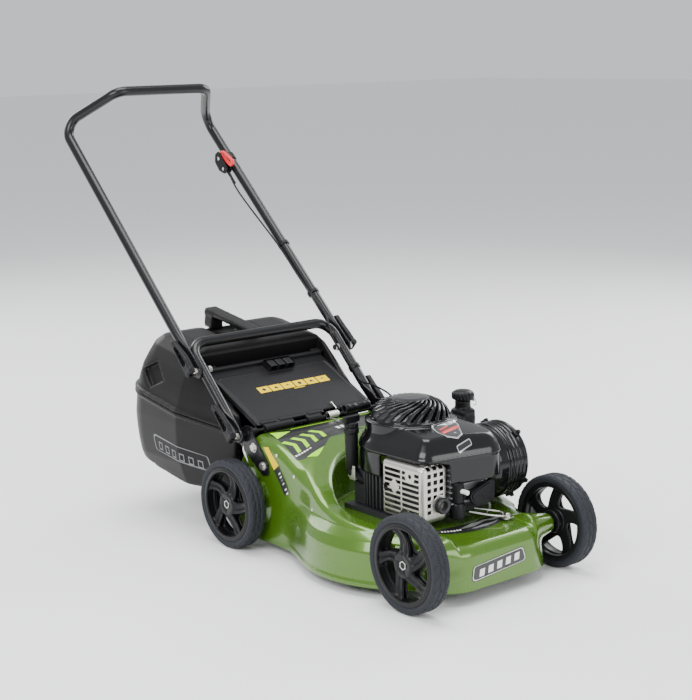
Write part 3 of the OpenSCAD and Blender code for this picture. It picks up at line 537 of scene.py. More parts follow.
def patch(name, outline, surface, mat, lift, grid, hole=None):
    """A thin sticker: an outline in 2D laid along rays onto a surface, which is (to_ray, tree, body).
    to_ray(u, v) gives a ray's start and direction."""
    to_ray, tree, body = surface
    o = finer(outline, grid)
    pts = [Vector(p) for p in o]
    edges = [(i, (i + 1) % len(o)) for i in range(len(o))]
    if hole is not None:
        h = finer(hole, grid)
        edges += [(len(o) + i, len(o) + (i + 1) % len(h)) for i in range(len(h))]
        pts += [Vector(p) for p in h]
    gx, gy = np.meshgrid(np.arange(o[:, 0].min() + grid / 2, o[:, 0].max(), grid),
                         np.arange(o[:, 1].min() + grid / 2, o[:, 1].max(), grid))
    gx, gy = gx.ravel(), gy.ravel()
    keep = sd_poly(gx, gy, o) < -grid * 0.35
    if hole is not None:
        keep &= sd_poly(gx, gy, h) > grid * 0.35
    pts += [Vector(p) for p in zip(gx[keep], gy[keep])]
    res = delaunay_2d_cdt(pts, edges, [], 0, 1e-4)
    faces = [list(f) for f in res[2]]
    cs = np.array([np.mean([res[0][i][:] for i in f], axis=0) for f in faces])
    ok = sd_poly(cs[:, 0], cs[:, 1], o) < 0
    if hole is not None:
        ok &= sd_poly(cs[:, 0], cs[:, 1], h) > 0
    faces = [f for f, k in zip(faces, ok) if k]
    out = []
    for p in res[0]:
        start, way = to_ray(p[0], p[1])
        hit, normal, _, _ = tree.ray_cast(Vector(start), Vector(way))
        if hit is None:
            hit, normal, _, _ = tree.find_nearest(Vector(start))
        if normal.dot(Vector(way)) > 0:
            normal = -normal
        out.append(np.array(hit) + np.array(normal) * lift)
    used = sorted({i for f in faces for i in f})
    where = {i: k for k, i in enumerate(used)}
    faces = [[where[i] for i in f] for f in faces]
    out = np.array([out[i] for i in used])
    a, b, c = (out[[f[k] for f in faces]] for k in range(3))
    way = np.array(to_ray(*cs[0])[1])
    if (np.cross(b - a, c - a) @ way).sum() > 0:
        faces = [f[::-1] for f in faces]
    return piece(name, out, faces, "label_" + mat, body, angle=180)


# ---- Deck ----

TOP_Y = [-60, -46, -36, -15, 60, 140, 220, 290, 335, 380, 425, 465, 505, 560]
TOP_Z = [80, 98, 113, 121, 124, 130, 142, 158, 180, 207, 234, 250, 256, 256]
fine_y = np.arange(-80, 620, 2.0)
fine_z = np.interp(fine_y, TOP_Y, TOP_Z)
fine_z = np.convolve(np.pad(fine_z, 12, "edge"), np.hanning(27)[1:-1] / np.hanning(27).sum(), "valid")
RING = [(0, -20), (245, -20), (245, 28), (242.6, 34), (242, 60), (239, 92), (230, 112), (210, 128),
        (205, 320),
        (0, 320)]
NOSE_Y = [-55, -55, -51.5, -46, -38, -25]
NOSE_Z = [-200, 20, 60, 98, 118, 126]


def deck_form(x, y, z):
    """The deck: a round blade chamber, a tunnel to the rear, a nose and the front axle bosses."""
    ax = np.abs(x)
    top = z - np.interp(y, fine_y, fine_z)
    r = np.hypot(x, y - CRANK_Y)
    ring = smax(sd_poly(r, z, RING), top, 16)
    front = np.interp(z, NOSE_Z, NOSE_Y)
    qx, qy = ax - 82 + 0.5 * (front + 55), front - y + 80
    plan = np.hypot(np.maximum(qx, 0), np.maximum(qy, 0)) + np.minimum(np.maximum(qx, qy), 0) - 80
    nose = smax(smax(plan, z - np.minimum(114 + 0.1 * (y + 46), 123), 15), y - 150, 4)
    tunnel = smax(smax(ax - 190, top, 26), 300 - y, 40)
    body = smin(smin(ring, tunnel, 42), nose, 14)
    body = smax(body, -np.maximum(185 - ax, np.hypot(y, z - WHEEL_Z) - ARCH_R), 9)
    pad = np.maximum(r - 167, 125 - z)
    body = smax(body, -pad, 11)
    rho = np.hypot(y, z - WHEEL_Z) - (34 - 14 * (ax - 118) / 66)
    boss = smax(smax(rho, ax - 184, 3), 112 - ax, 4)
    return smin(body, boss, 12)


deck_shape = nets(deck_form, (-250, -62, -6), (250, 560, 268), 3.4)
for plane in (((0, 0, 20), (0, 0, -1)), ((0, -55, 28), (0, -0.076, -1)), ((0, 536, 0), (0, 1, 0))):
    deck_shape = cut(deck_shape, [plane], drop_far=True)
deck_tree = bvh(deck_shape)
deck = piece("deck_shell", *deck_shape, "deck_paint", "chassis", replaces=("deck", "front_axle_bosses"),
             angle=60)
add_wall(deck, 2.4)
EAR = [(530, 22), (590, 34), (606, 60), (606, 150), (584, 190), (552, 240), (530, 244)]
SIDEWAYS = np.array([[0, 1, 0], [0, 0, 1], [1, 0, 0.0]])
ears = [through((np.zeros(3), SIDEWAYS), prism(rounded(EAR + EAR[:1], 8)[:-1], 187.5, 189.9))]
ears.append(turned(ears[0], flip=True))
floor = [(474, 28), (476.5, 28), (482, 78), (596, 87), (596, 89.5), (480, 80.5)]
ears.append(through((np.zeros(3), SIDEWAYS), prism(floor, -188, 188)))
piece("deck_rear_sides", *join(*ears), "deck_paint", "chassis", bevel=0.5)


# ---- Wheels ----

def wheel_face(x, y, z):
    """The outer half of a wheel, its face toward +z: rim, five curved double-ridge spokes, hub."""
    r = np.hypot(x, y)
    a = np.arctan2(y, x)
    bend = 0.42 * (r - 26) / 50
    turn = (a - bend) * 5 / (2 * math.pi)
    off = (turn - np.round(turn)) * 2 * math.pi / 5 * r
    arc = np.clip((r - 24) / 54, 0, 1)
    height = 15.5 - 7 * np.sin(arc * math.pi) ** 1.2
    half = 9.5 + 7 * (1 - arc) ** 2 + 5 * arc ** 3
    groove = 2.6 * np.exp(-(off / 2.6) ** 2)
    spoke = smax(smax(np.abs(off) - half, np.abs(z - height + 3.5 + groove / 2) - 3.5 + groove / 2, 3),
                 r - 80, 2)
    web = smax(np.abs(z + 3) - 2.2, r - 80, 1)
    windows = smax(smax(np.abs(off) * -1 + half + 2.0, 34 - r, 5), r - 72, 5)
    web = smax(web, -windows, 2)
    rim = smax(np.abs(r - 79.5) - 5.5, np.abs(z) - 19, 3)
    lip = smax(np.abs(r - 76.0) - 2.4, np.abs(z - 17.5) - 2.6, 2)
    hub = smax(smax(r - 25, np.abs(z + 1) - 18.5, 4), 7.2 - r, 1)
    dish = np.hypot(r, z - 46) - 33.5
    hub = smax(hub, -dish, 2)
    body = smin(smin(smin(spoke, rim, 5), hub, 6), web, 4)
    return smin(body, lip, 2)


def tread(steps):
    """A tyre of half width 21 turned round z; the tread carries slanting grooves."""
    prof = [(84.5, -15), (84.5, -18), (87, -19.6), (92, -21), (95.4, -20.3), (97.2, -18.8)]
    crown = [(99.2, w) for w in np.linspace(-17.2, 17.2, 13)]
    prof = rounded(prof, 1, 2).tolist() + crown + [(r, -w) for r, w in rounded(prof, 1, 2)[::-1]]
    m = len(prof)
    rows = np.array([-11.0, 0.0, 11.0])
    pitch, groove, depth = 24.88, 3.4, 1.8
    pts = []
    for k in range(steps):
        t = 2 * math.pi * k / steps
        for r, w in prof:
            if r > 97:
                near = np.argmin(np.abs(rows - w))
                slant = (w - rows[near]) * (1.5 if near != 1 else -1.5)
                phase = (t * 99 + slant + (12 if near == 1 else 0)) % pitch
                low = depth if phase < groove or abs(abs(w) - 5.7) < 0.9 else 0
                edge = 0.8 if abs(w) > 16 else 0
                r = r - low - edge + 0.75
            pts.append((r * math.cos(t), r * math.sin(t), w))
    faces = [[k * m + j, ((k + 1) % steps) * m + j, ((k + 1) % steps) * m + j + 1, k * m + j + 1]
             for k in range(steps) for j in range(m - 1)]
    return np.array(pts), faces


face_shape = nets(wheel_face, (-88, -88, -24), (88, 88, 22), 1.7)
tyre_shape = tread(400)
WHEELS = {"wheel_front_left": (1, 211, 0, 148), "wheel_front_right": (-1, -211, 0, 20),
          "wheel_rear_left": (1, 225, REAR_AXLE_Y, 190), "wheel_rear_right": (-1, -225, REAR_AXLE_Y, 47)}
for body, (side, x, y, degrees) in WHEELS.items():
    spin = math.radians(degrees)
    at = stand((x, y, WHEEL_Z), (0, math.cos(spin), math.sin(spin)), (side, 0, 0))
    piece(body + "_tyre", *through(at, tyre_shape), "rubber", body, replaces=(body.replace("wheel", "tyre"),),
          angle=32)
    piece(body + "_rim", *through(at, face_shape), "wheel_plastic", body,
          replaces=(body.replace("wheel", "rim"),),
          angle=58)
    cap = lathe(rounded([(0, 17.2), (7, 17.0), (11.6, 14.6), (12.2, 12), (12.2, 8)], 1.5, 4), 40)
    piece(body + "_hub_cap", *through(at, cap), "black_plastic", body)
    ring = lathe([(14.5, 12.2), (14.9, 13.0), (16.3, 13.4), (17.3, 12.6)], 48)
    piece(body + "_hub_ring", *through(at, ring), "black_plastic", body)


# ---- Engine ----

def hull(points):
    """The convex outline round points."""
    p = sorted(map(tuple, np.round(points, 4)))
    half = []
    for seq in (p, p[::-1]):
        line = []
        for q in seq:
            while len(line) > 1 and np.cross(np.subtract(line[-1], line[-2]), np.subtract(q, line[-1])) <= 0:
                line.pop()
            line.append(q)
        half += line[:-1]
    return np.array(half)


SHROUD_PLAN = hull(np.concatenate([circle(0, CRANK_Y, 110, 160), circle(-66, 104, 38, 90),
                                   circle(64, 84, 44, 90)]))
shroud_plan = plan_field(SHROUD_PLAN, (-130, 20), (130, 360))


def shroud(x, y, z):
    """The blower housing: a crown with two lobes in plan, hollow below, notched for the guard."""
    plan = shroud_plan(x, y)
    ring = np.hypot(x, y - CRANK_Y)
    crown = smin(277 - 1.45 * plan, 319 - 0.17 * np.maximum(ring - 97, 0), 9)
    top = smin(z - crown, np.maximum(ring - 97, z - 322.5), 7)
    wall = smin(plan + np.clip((255 - z) / 90, 0, 1) * 2, smax(plan - 1.6, np.abs(z - 268) - 3.4, 2.5), 2)
    body = smax(smax(wall, top, 7), 214 - z, 1.5)
    core = smax(plan + 8, z - crown + 9, 8)
    core = np.minimum(core, ring - 72)
    body = smax(body, -core, 1.5)
    notch = sd_box(x, y, z, (-140, 62, 190), (-32, 206, 262), 10)
    return smax(body, -notch, 3)


housing_shape = nets(shroud, (-114, 38, 210), (114, 342, 328), 2.3)
piece("shroud", *housing_shape, "shroud_plastic", "chassis", replaces=("blower_housing",), angle=180)
housing_tree = bvh(housing_shape)

DOME = [(0, 46.5), (28, 46), (50, 42.5), (68, 34), (79, 23), (85, 11), (87.5, 0), (87.5, -30), (0, -30)]


def dome(x, y, z):
    """The starter cover, with slots that lean as they run outward."""
    r = np.hypot(x, y)
    a = np.arctan2(y, x)
    body = sd_poly(r, z, DOME)
    lean = (r - 40) / 48
    count = 22
    turn = (a + 1.25 * lean) * count / (2 * math.pi)
    off = np.abs(turn - np.round(turn)) / count * 2 * math.pi * r / math.hypot(1, 1.1)
    slot = smax(smax(off - 2.0 - 2.3 * lean, 40 - r, 3), -body - 6, 1)
    slot = smax(slot, r - 86.5, 2)
    slot = smax(slot, 6 - z, 2)
    rim = np.maximum(np.abs(r - 88) - 1.2, np.abs(z + 1) - 2)
    body = smax(smin(body, rim, 2), -slot, 1.2)
    ring = np.abs(np.hypot(r - 38, z - 45.5)) - 1.2
    body = smax(body, -ring, 1)
    return smax(body, -z, 0.5)


dome_shape = nets(dome, (-92, -92, -3), (92, 92, 50), 1.35)
piece("starter_dome", *turned(dome_shape, (0, CRANK_Y, 320.3)), "shroud_plastic", "chassis",
      replaces=("starter_cover",), angle=60)


def guard(x, y, z):
    """The muffler guard: a thin box with slots, holes and a grid cut through it."""
    outer = sd_box(x, y, z, (-108, 72, 136), (-36, 202, 258), 13)
    shell = smax(outer, -(outer + 3), 0.6)
    side_zone = np.maximum(np.maximum(86 - y, y - 190), x + 97)
    row = (z - 147) / 11.4
    slot = np.maximum(np.abs((row - np.round(row)) * 11.4) - 3.3, np.maximum(144 - z, z - 242))
    bars = np.abs(y - 138) - 1.8
    slot = np.maximum(np.maximum(slot, side_zone), -bars)
    island = np.abs(y - 160) * 0.75 + np.abs(z - 204) * 0.66 - 12
    slot = np.maximum(slot, -island)
    slot = np.maximum(slot, 15 - np.hypot(y - 112, z - 233))
    holes = np.minimum(np.hypot(y - 188, z - 196) - 8, np.hypot(y - 134, z - 148) - 9)
    holes = np.minimum(holes, np.hypot(y - 112, z - 233) - 4.5)
    slot = np.minimum(slot, np.maximum(holes, x + 97))
    gx, gz = (x + 72) / 17, (z - 238) / 15.5
    grid = np.maximum(np.abs((gx - np.round(gx)) * 17) - 5.2, np.abs((gz - np.round(gz)) * 15.5) - 4.2)
    grid = np.maximum(np.maximum(grid, np.abs(x + 72) - 24), np.maximum(y - 82, 158 - z))
    grid = np.maximum(grid, 22 - np.hypot(x + 58, z - 172))
    gy = (y - 94) / 13
    top = np.maximum(np.abs((gy - np.round(gy)) * 13) - 3.2,
                     np.maximum(np.abs(y - 138) - 50, np.abs(x + 88) - 8))
    top = np.maximum(top, 250 - z)
    seam = np.abs(outer + 0.6) - 0.9
    seam = np.maximum(seam, np.abs(y - 84) - 0.8)
    cuts = np.minimum(np.minimum(slot, grid), top)
    return smax(smax(shell, -cuts, 1.0), -seam, 0.4)


guard_shape = nets(guard, (-112, 68, 132), (-32, 206, 262), 1.2)
piece("exhaust_guard", *guard_shape, "guard_alloy", "chassis", replaces=("muffler_guard",), angle=50)
rings = [(9.5, 0), (9.5, 26)]
for k in range(5):
    rings += [(17.2 - k * 0.5, 24 - k * 4.4), (17.2 - k * 0.5, 22 - k * 4.4), (14.6 - k * 0.5, 21 - k * 4.4),
              (14.6 - k * 0.5, 20 - k * 4.4)]
rings[2:2] = [(11, 27), (15.5, 27)]
piece("exhaust_outlet", *through(stand((-58, 86, 172), (1, 0, 0), (0, -1, 0)), lathe(rings, 40)),
      "dark_steel", "chassis")

# Air filter
AIR = stand((0, 140, 217), (0, 1, 0), (1, 0, 0))
barrel = [(0, 84), (52, 84), (66, 90), (73, 99), (76.5, 112), (78.4, 131), (79, 133), (82, 134), (82.4, 137),
          (82, 140), (70, 140.2)]
piece("filter_barrel", *through(AIR, lathe(rounded(barrel, 3, 3), 96)), "shroud_plastic", "chassis",
      replaces=("air_filter_base",), angle=50)
cover = [(66, 140.5), (78.5, 140.5), (78.8, 143)]
for k in range(3):
    a = 143.5 + k * 10.5
    cover += [(81.5, a + 0.8), (81.9, a + 2.4), (81.5, a + 4), (78.6, a + 5), (78.6, a + 9)]
cover += [(80, 175), (82, 177), (82, 183), (80, 187), (72, 190.3), (60, 191), (56, 190), (52, 188.4),
          (20, 188),
          (0, 188)]
piece("filter_cover", *through(AIR, lathe(rounded(cover, 1.5, 3), 96)), "shroud_plastic", "air_filter_cover",
      replaces=("air_filter_cover",), angle=50)
tabs = []
for a in (205, 245, 290, 335, 60, 130):
    c, s = math.cos(math.radians(a)), math.sin(math.radians(a))
    here = stand((0, 140 + 82 * c, 217 + 82 * s), (1, 0, 0), (0, c, s))
    tabs.append(through(here, prism(round_rect(168, -7, 182, 7, 2.5, 3), -3, 4.5)))
    tabs.append(through(here, prism(round_rect(178, -4, 185, 4, 1.5, 3), -2, 7.5)))
piece("filter_clips", *join(*tabs), "black_plastic", "air_filter_cover", bevel=0.6)

# Carburettor cover, breather duct and small parts at the front
FRONT = (np.zeros(3), np.array([[1, 0, 0], [0, 0, 1], [0, -1, 0.0]]))
D_SHAPE = [(68, 165), (60, 162), (16, 162), (2, 174), (-3, 185), (4, 193), (54, 210), (64, 209), (68, 204)]
d_line = rounded(D_SHAPE + D_SHAPE[:1] + D_SHAPE[1:2], 5, 4)[1:]
inner = scaled(d_line, [0.86, 0.82])
carb = join(through(FRONT, prism(d_line, -49, -42.4)), through(FRONT, prism(inner, -44, -40.6)),
            through(FRONT, prism(inner * [1, 0.96] + [0, 7.2], -62, -48)))
piece("carb_lid", *carb, "black_plastic", "chassis", replaces=("carburettor_cover",), bevel=1.4)
dots = []
rng = np.random.default_rng(5)
for u, v in rng.uniform((4, 166), (62, 204), (260, 2)):
    if sd_poly(np.array([u]), np.array([v]), inner)[0] < -3:
        dots.append(through(FRONT, turned(lathe([(1.1, 0), (0.7, 0.55), (0, 0.7)], 6), (u, v, -40.7))))
piece("carb_lid_stipple", *join(*dots), "black_plastic", "chassis", flat=True)
piece("breather_duct", *join(cyl((-20, 62, 216), (-17, 66, 172), 13, r2=15, edge=3),
                             cyl((-17, 66, 172), (-12, 70, 138), 15, r2=17.5, edge=3)), "black_plastic",
                             "chassis")
rods = [tube(smooth_line([(4, 52, 150), (34, 28, 142), (62, 16, 136), (84, 20, 129)]), 2.2, 10),
        tube(smooth_line([(24, 58, 152), (52, 38, 146), (78, 34, 138), (90, 40, 130)]), 1.6, 10),
        cyl((84, 20, 127), (84, 20, 133), 6, edge=1), bolt((84, 20, 133), (84, 20, 138), 5),
        prism(round_rect(70, 12, 98, 46, 6), 126.5, 129)]
piece("control_bracket", *join(*rods), "zinc_steel", "chassis", bevel=0.4)
fins = []
for k in range(9):
    y = 210 + k * 11
    edge = -math.sqrt(max(110 ** 2 - (y - CRANK_Y) ** 2, 0)) * 0.92
    fins.append(block((edge - 2, y, 140), (-66, y + 4, 214)))
fins.append(block((-94, 206, 137), (-70, 304, 214)))
piece("crankcase_fins", *join(*fins), "dark_steel", "chassis", bevel=0.8)
piece("engine_plate", *join(block((-112, 282, 196), (-109, 304, 222)),
                            block((-110, 284, 190), (-96, 302, 198))),
      "guard_alloy", "chassis", bevel=0.7)

# Fuel tank, its neck and cap


def tank(x, y, z):
    """The fuel tank with its shoulder round the housing, its neck and its seam."""
    body = sd_box(x, y, z, (112, 222, 228), (197, 302, 294), 18)
    r = np.hypot(x, y - CRANK_Y)
    a = np.degrees(np.arctan2(y - CRANK_Y, x))
    shoulder = np.maximum(np.hypot(r - 112, (z - 289) * 0.8) - 15, np.abs(a - 52) / 60 * 105 - 92)
    shoulder = np.maximum(shoulder, 275 - z)
    neck = sd_box(x, y, z, (153, 226, 280), (195, 270, 309), 8)
    neck = smin(neck, sd_cyl(x, y, z, TANK_NECK, 17.5, 290, 327, 2), 5)
    body = smin(smin(body, shoulder, 9), neck, 7)
    joint = np.maximum(np.abs(z - 262) - 1.6, sd_box(x, y, z, (108, 218, 230), (201, 306, 294), 18))
    return smin(body, joint, 2)


tank_shape = nets(tank, (20, 210, 224), (202, 352, 330), 2.4)
piece("tank", *tank_shape, "black_plastic", "chassis", replaces=("fuel_tank",), angle=180)


def ribbed(r, z0, z1, ribs, depth, at, dome_h):
    """A cap with gripping ribs and a domed top."""
    n = ribs * 8
    rows = [(r * 0.97, z0, 0), (r, z0 + 1.5, 1), (r, z1 - 3, 1), (r * 0.93, z1, 0.3),
            (r * 0.7, z1 + dome_h * 0.7, 0), (r * 0.35, z1 + dome_h, 0)]
    pts = []
    for rr, z, k in rows:
        for i in range(n):
            t = 2 * math.pi * i / n
            q = rr - depth * k * (0.5 + 0.5 * math.cos(ribs * t)) ** 3
            pts.append((q * math.cos(t), q * math.sin(t), z))
    pts.append((0, 0, z1 + dome_h))
    m = len(rows)
    faces = [[j * n + i, j * n + (i + 1) % n, (j + 1) * n + (i + 1) % n,
              (j + 1) * n + i] for j in range(m - 1) for i in range(n)]
    faces += [[(m - 1) * n + i, (m - 1) * n + (i + 1) % n, m * n] for i in range(n)]
    faces.append(list(range(n))[::-1])
    return turned((np.array(pts), faces), at)


piece("cap", *join(ribbed(25, 331, 345, 18, 2.4, (*TANK_NECK, 0), 5),
                   cyl((*TANK_NECK, 328.5), (*TANK_NECK, 332), 21)),
      "black_plastic", "fuel_cap", replaces=("fuel_cap",), angle=50)
piece("cap_tag", *join(block((197, 236, 322), (199, 256, 338)), block((192, 240, 328), (198, 250, 331))),
      "label_white", "fuel_cap", bevel=0.6)
tagline = tube(smooth_line([(196, 250, 333), (203, 247, 330), (206, 240, 322), (203, 236, 315),
                            (199, 240, 312)]),
               1.3, 8)
piece("cap_strap", *tagline, "label_white", "fuel_cap")

# Oil filler and dipstick, starter grip
down = bent_line([(*FILLER, 300), (*FILLER, 205), (-62, 254, 164)], 18)
piece("filler", *join(tube(down, np.interp(np.arange(len(down)), [0, 2, len(down)], [14.5, 12, 11.5]), 32,
                           (0, -0.69, 0.72)),
                      cyl((*FILLER, 290), (*FILLER, 303.8), 16.2, edge=2)), "black_plastic", "chassis",
      replaces=("oil_filler_tube",), angle=50)
piece("dip_cap", *join(ribbed(15.5, 304.3, 314, 10, 1.6, (*FILLER, 0), 2),
                       prism(round_rect(-125, 294, -83, 306, 4), 315, 328.5)), "black_plastic", "dipstick",
      replaces=("dipstick",), bevel=1.5)

GRIP_END_CUP = [(0, 14), (6.4, 14), (6.4, 1), (7, 0), (9.3, 0), (9.9, 1), (9.9, 12), (9, 14), (0, 14.2)]
piece("starter_handle", *join(cyl((-56, *ROPE_GRIP), (-24, *ROPE_GRIP), 9.6, edge=4),
                              cyl((-56, *ROPE_GRIP), (-80, *ROPE_GRIP), 9.0, edge=2),
                              through(stand((-90, *ROPE_GRIP), (0, 0, 1), (1, 0, 0)),
                                      lathe(GRIP_END_CUP, 40)),
                              through(stand((-22, *ROPE_GRIP), (0, 0, 1), (-1, 0, 0)),
                                      lathe(GRIP_END_CUP, 40))),
      "black_plastic", "starter_grip", replaces=("starter_grip",), angle=60)

# ---- Grass catcher ----

rear = np.radians(np.arange(0, 91, 2))
right = [(182, 0), (232, 170)] + [(142 + 90 * math.cos(a), 312 + 90 * math.sin(a)) for a in rear]
BAG_PLAN = np.array(right + [(-u, v) for u, v in right[::-1]])
bag_plan = plan_field(BAG_PLAN, (-262, -30), (262, 434), 1.5)
BAG_IN = [(-400, 0), (0, 0), (34, 6), (60, 12), (88, 24), (116, 38), (132, 56), (141, 80), (160, 130)]
BAG_FROM = [(-400, 0), (0, 0), (34, 6), (60, 75), (116, 150), (141, 180), (160, 210)]
TUB_IN = [(80, 32), (92, 29), (118, 18), (150, 7), (200, 3), (245, 0), (400, 0)]
TUB_TO = [(80, 130), (92, 170), (118, 296), (122, 300), (140, 372), (150, 394), (190, 401), (400, 402)]
TUB_FROM = [(80, 40), (92, 34), (118, 24), (150, 12), (240, 0), (400, 0)]


def into(y, z, origin, tilt):
    """The position (y, z) along and above a line through origin that is tilted by an angle."""
    dy, dz = y - origin[1], z - origin[2]
    return math.cos(tilt) * dy + math.sin(tilt) * dz, math.cos(tilt) * dz - math.sin(tilt) * dy


def table(v, rows):
    return np.interp(v, [a for a, _ in rows], [b for _, b in rows])


def lid(x, y, z):
    """The catcher's upper half, with its carry handle and side louvre."""
    v, w = into(y, z, BAG_AT, BAG_TILT)
    fv, fw = into(y, z, HINGE, FLAP_SLOPE)
    side = bag_plan(x, v)
    body = smax(side + table(w, BAG_IN), table(w, BAG_FROM) - v, 9)
    body = smax(body, w - 142, 12)
    under = np.maximum(np.maximum(np.abs(x) - 178, -4.5 - fw), fv - 248)
    body = smax(body, -under, 5)
    dish = sd_box(x, v, w, (-62, 212, 108), (62, 354, 300), 10)
    body = smax(body, -dish, 8)
    louvre = np.abs(v - 292) / 46 + np.abs(w - 52) / 30 - 1
    fold = smax(louvre * 18, np.abs(np.abs(x) - 236 + 0.30 * w) - 15, 4)
    body = smax(body, -fold, 5)
    beam = smax(np.abs(x) - 17, np.maximum(193 - v, v - 383), 3)
    grip = smax(smax(beam, 152 - w, 3), w - 167, 3)
    foot = smax(smax(np.abs(x) - 17, np.minimum(np.abs(v - 206) - 13, np.abs(v - 366) - 17), 3),
                np.maximum(120 - w, w - 160), 3)
    grip = smin(grip, foot, 4)
    body = smin(body, grip, 5)
    body = smax(body, 0.3 - w, 1)
    lip = smax(side - 5, np.abs(w - 4.6) - 3.9, 2.5)
    return smin(body, lip, 3)


def tub(x, y, z):
    """The catcher's lower half."""
    v, w = into(y, z, BAG_AT, BAG_TILT)
    flat = y - BAG_AT[1]
    run = flat + (v - flat) * np.clip((z - 150) / 95, 0, 1)
    body = smax(bag_plan(x, run) + table(z, TUB_IN), flat - table(z, TUB_TO), 9)
    body = smax(smax(body, table(z, TUB_FROM) - flat, 8), 92.5 - z, 10)
    body = smax(body, w + 0.3, 1)
    lip = smax(bag_plan(x, v) - 5, np.abs(w + 4.8) - 4.0, 2.5)
    return smin(body, lip, 3)


MOUTH_HALF, MOUTH_LOW, MOUTH_HIGH = 168, 155, 299


def mouth(c):
    return abs(c[0]) < MOUTH_HALF and 560 < c[1] < 652 and MOUTH_LOW < c[2] < MOUTH_HIGH


def opened(low, high):
    """The faces left out of a half: the mouth, and the seam where the two halves meet."""
    def inside(c):
        v, w = into(c[1], c[2], BAG_AT, BAG_TILT)
        return mouth(c) or (low < w < high and bag_plan(c[0:1], np.array([v]))[0] < -5)
    return inside


MOUTH_PLANES = ([((x, 0, 0), (1, 0, 0)) for x in (MOUTH_HALF, -MOUTH_HALF)]
                + [((0, 0, z), (0, 0, 1)) for z in (MOUTH_LOW, MOUTH_HIGH)])
bag_step = 4.2
lid_shape = nets(lid, (-244, 600, 240), (244, 1030, 486), bag_step)
lid_shape = cut(lid_shape, MOUTH_PLANES, inside=opened(-1.6, 1.6))
lid_obj = piece("catcher_lid", *lid_shape, "catcher_plastic", "catcher", replaces=("catcher_top",), angle=70)
add_wall(lid_obj, 2.6)
tub_shape = nets(tub, (-244, 600, 84), (244, 1030, 318), bag_step)
tub_shape = cut(tub_shape, MOUTH_PLANES, inside=opened(-2.5, math.inf))
tub_tree = bvh(tub_shape)
tub_obj = piece("catcher_tub", *tub_shape, "catcher_plastic", "catcher", replaces=("catcher_base",), angle=70)
add_wall(tub_obj, 2.6)

# ---- Rear flap ----

FLAP = (HINGE, np.array([[1, 0, 0], [0, math.cos(FLAP_SLOPE), math.sin(FLAP_SLOPE)],
                         [0, -math.sin(FLAP_SLOPE), math.cos(FLAP_SLOPE)]]))


def flap_part(x, y, z):
    """The rear flap in its own plane: panel, rib, rail, latch block and hinge barrels."""
    panel = sd_box(x, y, z, (-166, 7, 5), (166, 232, 8.6), 1.6)
    frame_rib = smax(np.abs(sd_box(x, y, 0 * z, (-158, 16, -9), (158, 190, 9), 10)) - 2.0,
                     np.abs(z - 8.4) - 1.6, 1)
    panel = smin(panel, frame_rib, 1.5)
    sides = sd_box(np.abs(x), y, z, (162, 12, -3), (166, 214, 8), 1.2)
    hood = sd_box(x, y, z, (-166, 213, 0), (166, 232, 18.8), 4)
    rail = smax(hood, -sd_box(x, y, z, (-140, 222, 8), (140, 260, 60), 3), 2)
    panel = smin(smin(panel, sides, 1), rail, 2)
    latch = sd_box(x, y, z, (-16, 180, 7), (60, 212, 29), 2.5)
    cell = (x + 2) / 24
    cells = sd_box((cell - np.clip(np.round(cell), 0, 2)) * 24, y, z, (-10, 170, 11), (10, 206, 25.5), 1.5)
    panel = smin(panel, smax(latch, -cells, 1), 1.5)
    knuckle = np.minimum(np.minimum(np.abs(x + 110) - 40, np.abs(x + 10) - 20), np.abs(x - 115) - 35)
    barrel = smax(np.hypot(y, z) - 8, knuckle, 1.5)
    tongue = smax(smax(np.maximum(-1 - y, y - 12), np.abs(z - 5) - 3, 1), knuckle, 1)
    panel = smin(panel, smin(barrel, tongue, 3), 2)
    panel = smax(panel, -np.maximum(np.abs(x - 45) - 21, y - 15), 1)
    return smax(panel, 4.3 - np.hypot(y, z), 0.5)


flap_shape = nets(flap_part, (-170, -12, -12), (170, 236, 26), 1.9)
piece("flap_panel", *through(FLAP, flap_shape), "flap_plastic", "flap", replaces=("flap",), angle=55)
flap_bar = cyl((-168, 223, 12.2), (176, 223, 12.2), 5.2, edge=1)
piece("flap_bar", *through(FLAP, flap_bar), "black_paint", "flap", replaces=("flap_rod",))
bar_end = cyl((-176, 223, 12), (-167, 223, 12), 6.4, edge=2.5)
piece("flap_bar_end", *through(FLAP, bar_end), "zinc_steel", "flap")
ribs = [through(FLAP, prism(round_rect(x0, 8, x1, 16, 1.5), 8, 10.5))
        for x0, x1 in ((-156, -112), (-104, -28), (-22, 18), (72, 156))]
piece("flap_edge_ribs", *join(*ribs), "flap_plastic", "flap", bevel=0.7)

# ---- Handles ----


def bar_points(points, bend):
    """A bent bar's centre line in short, even steps."""
    line = bent_line(points, bend, 4)
    out = [line[0]]
    for a, b in zip(line[:-1], line[1:]):
        n = max(1, int(np.linalg.norm(b - a) / 14))
        out += [a + (b - a) * t / n for t in range(1, n + 1)]
    return np.array(out)


def squeezed(line, flat_x, near, far):
    """A bar whose ends are pressed flat at x = flat_x and open back to round between near and far."""
    start, stop = line[0], line[-1]

    def press(pts):
        mid = pts.mean(1, keepdims=True)
        for end in (start, stop):
            s = np.linalg.norm(line - end, axis=1)[:, None, None]
            k = np.clip((s - near) / (far - near), 0, 1)
            k = k * k * (3 - 2 * k)
            side = np.sign(end[0])
            off = pts - mid
            thin = off * np.array([0.32, 1, 1])
            wide = thin * np.array([1, 1.22, 1.22])
            centre = mid + np.array([1, 0, 0]) * (side * flat_x - mid[..., :1]) * (1 - k)
            pts = np.where(s < far + 60, centre + wide * (1 - k) + off * k, pts)
            mid = pts.mean(1, keepdims=True)
        return pts
    return press


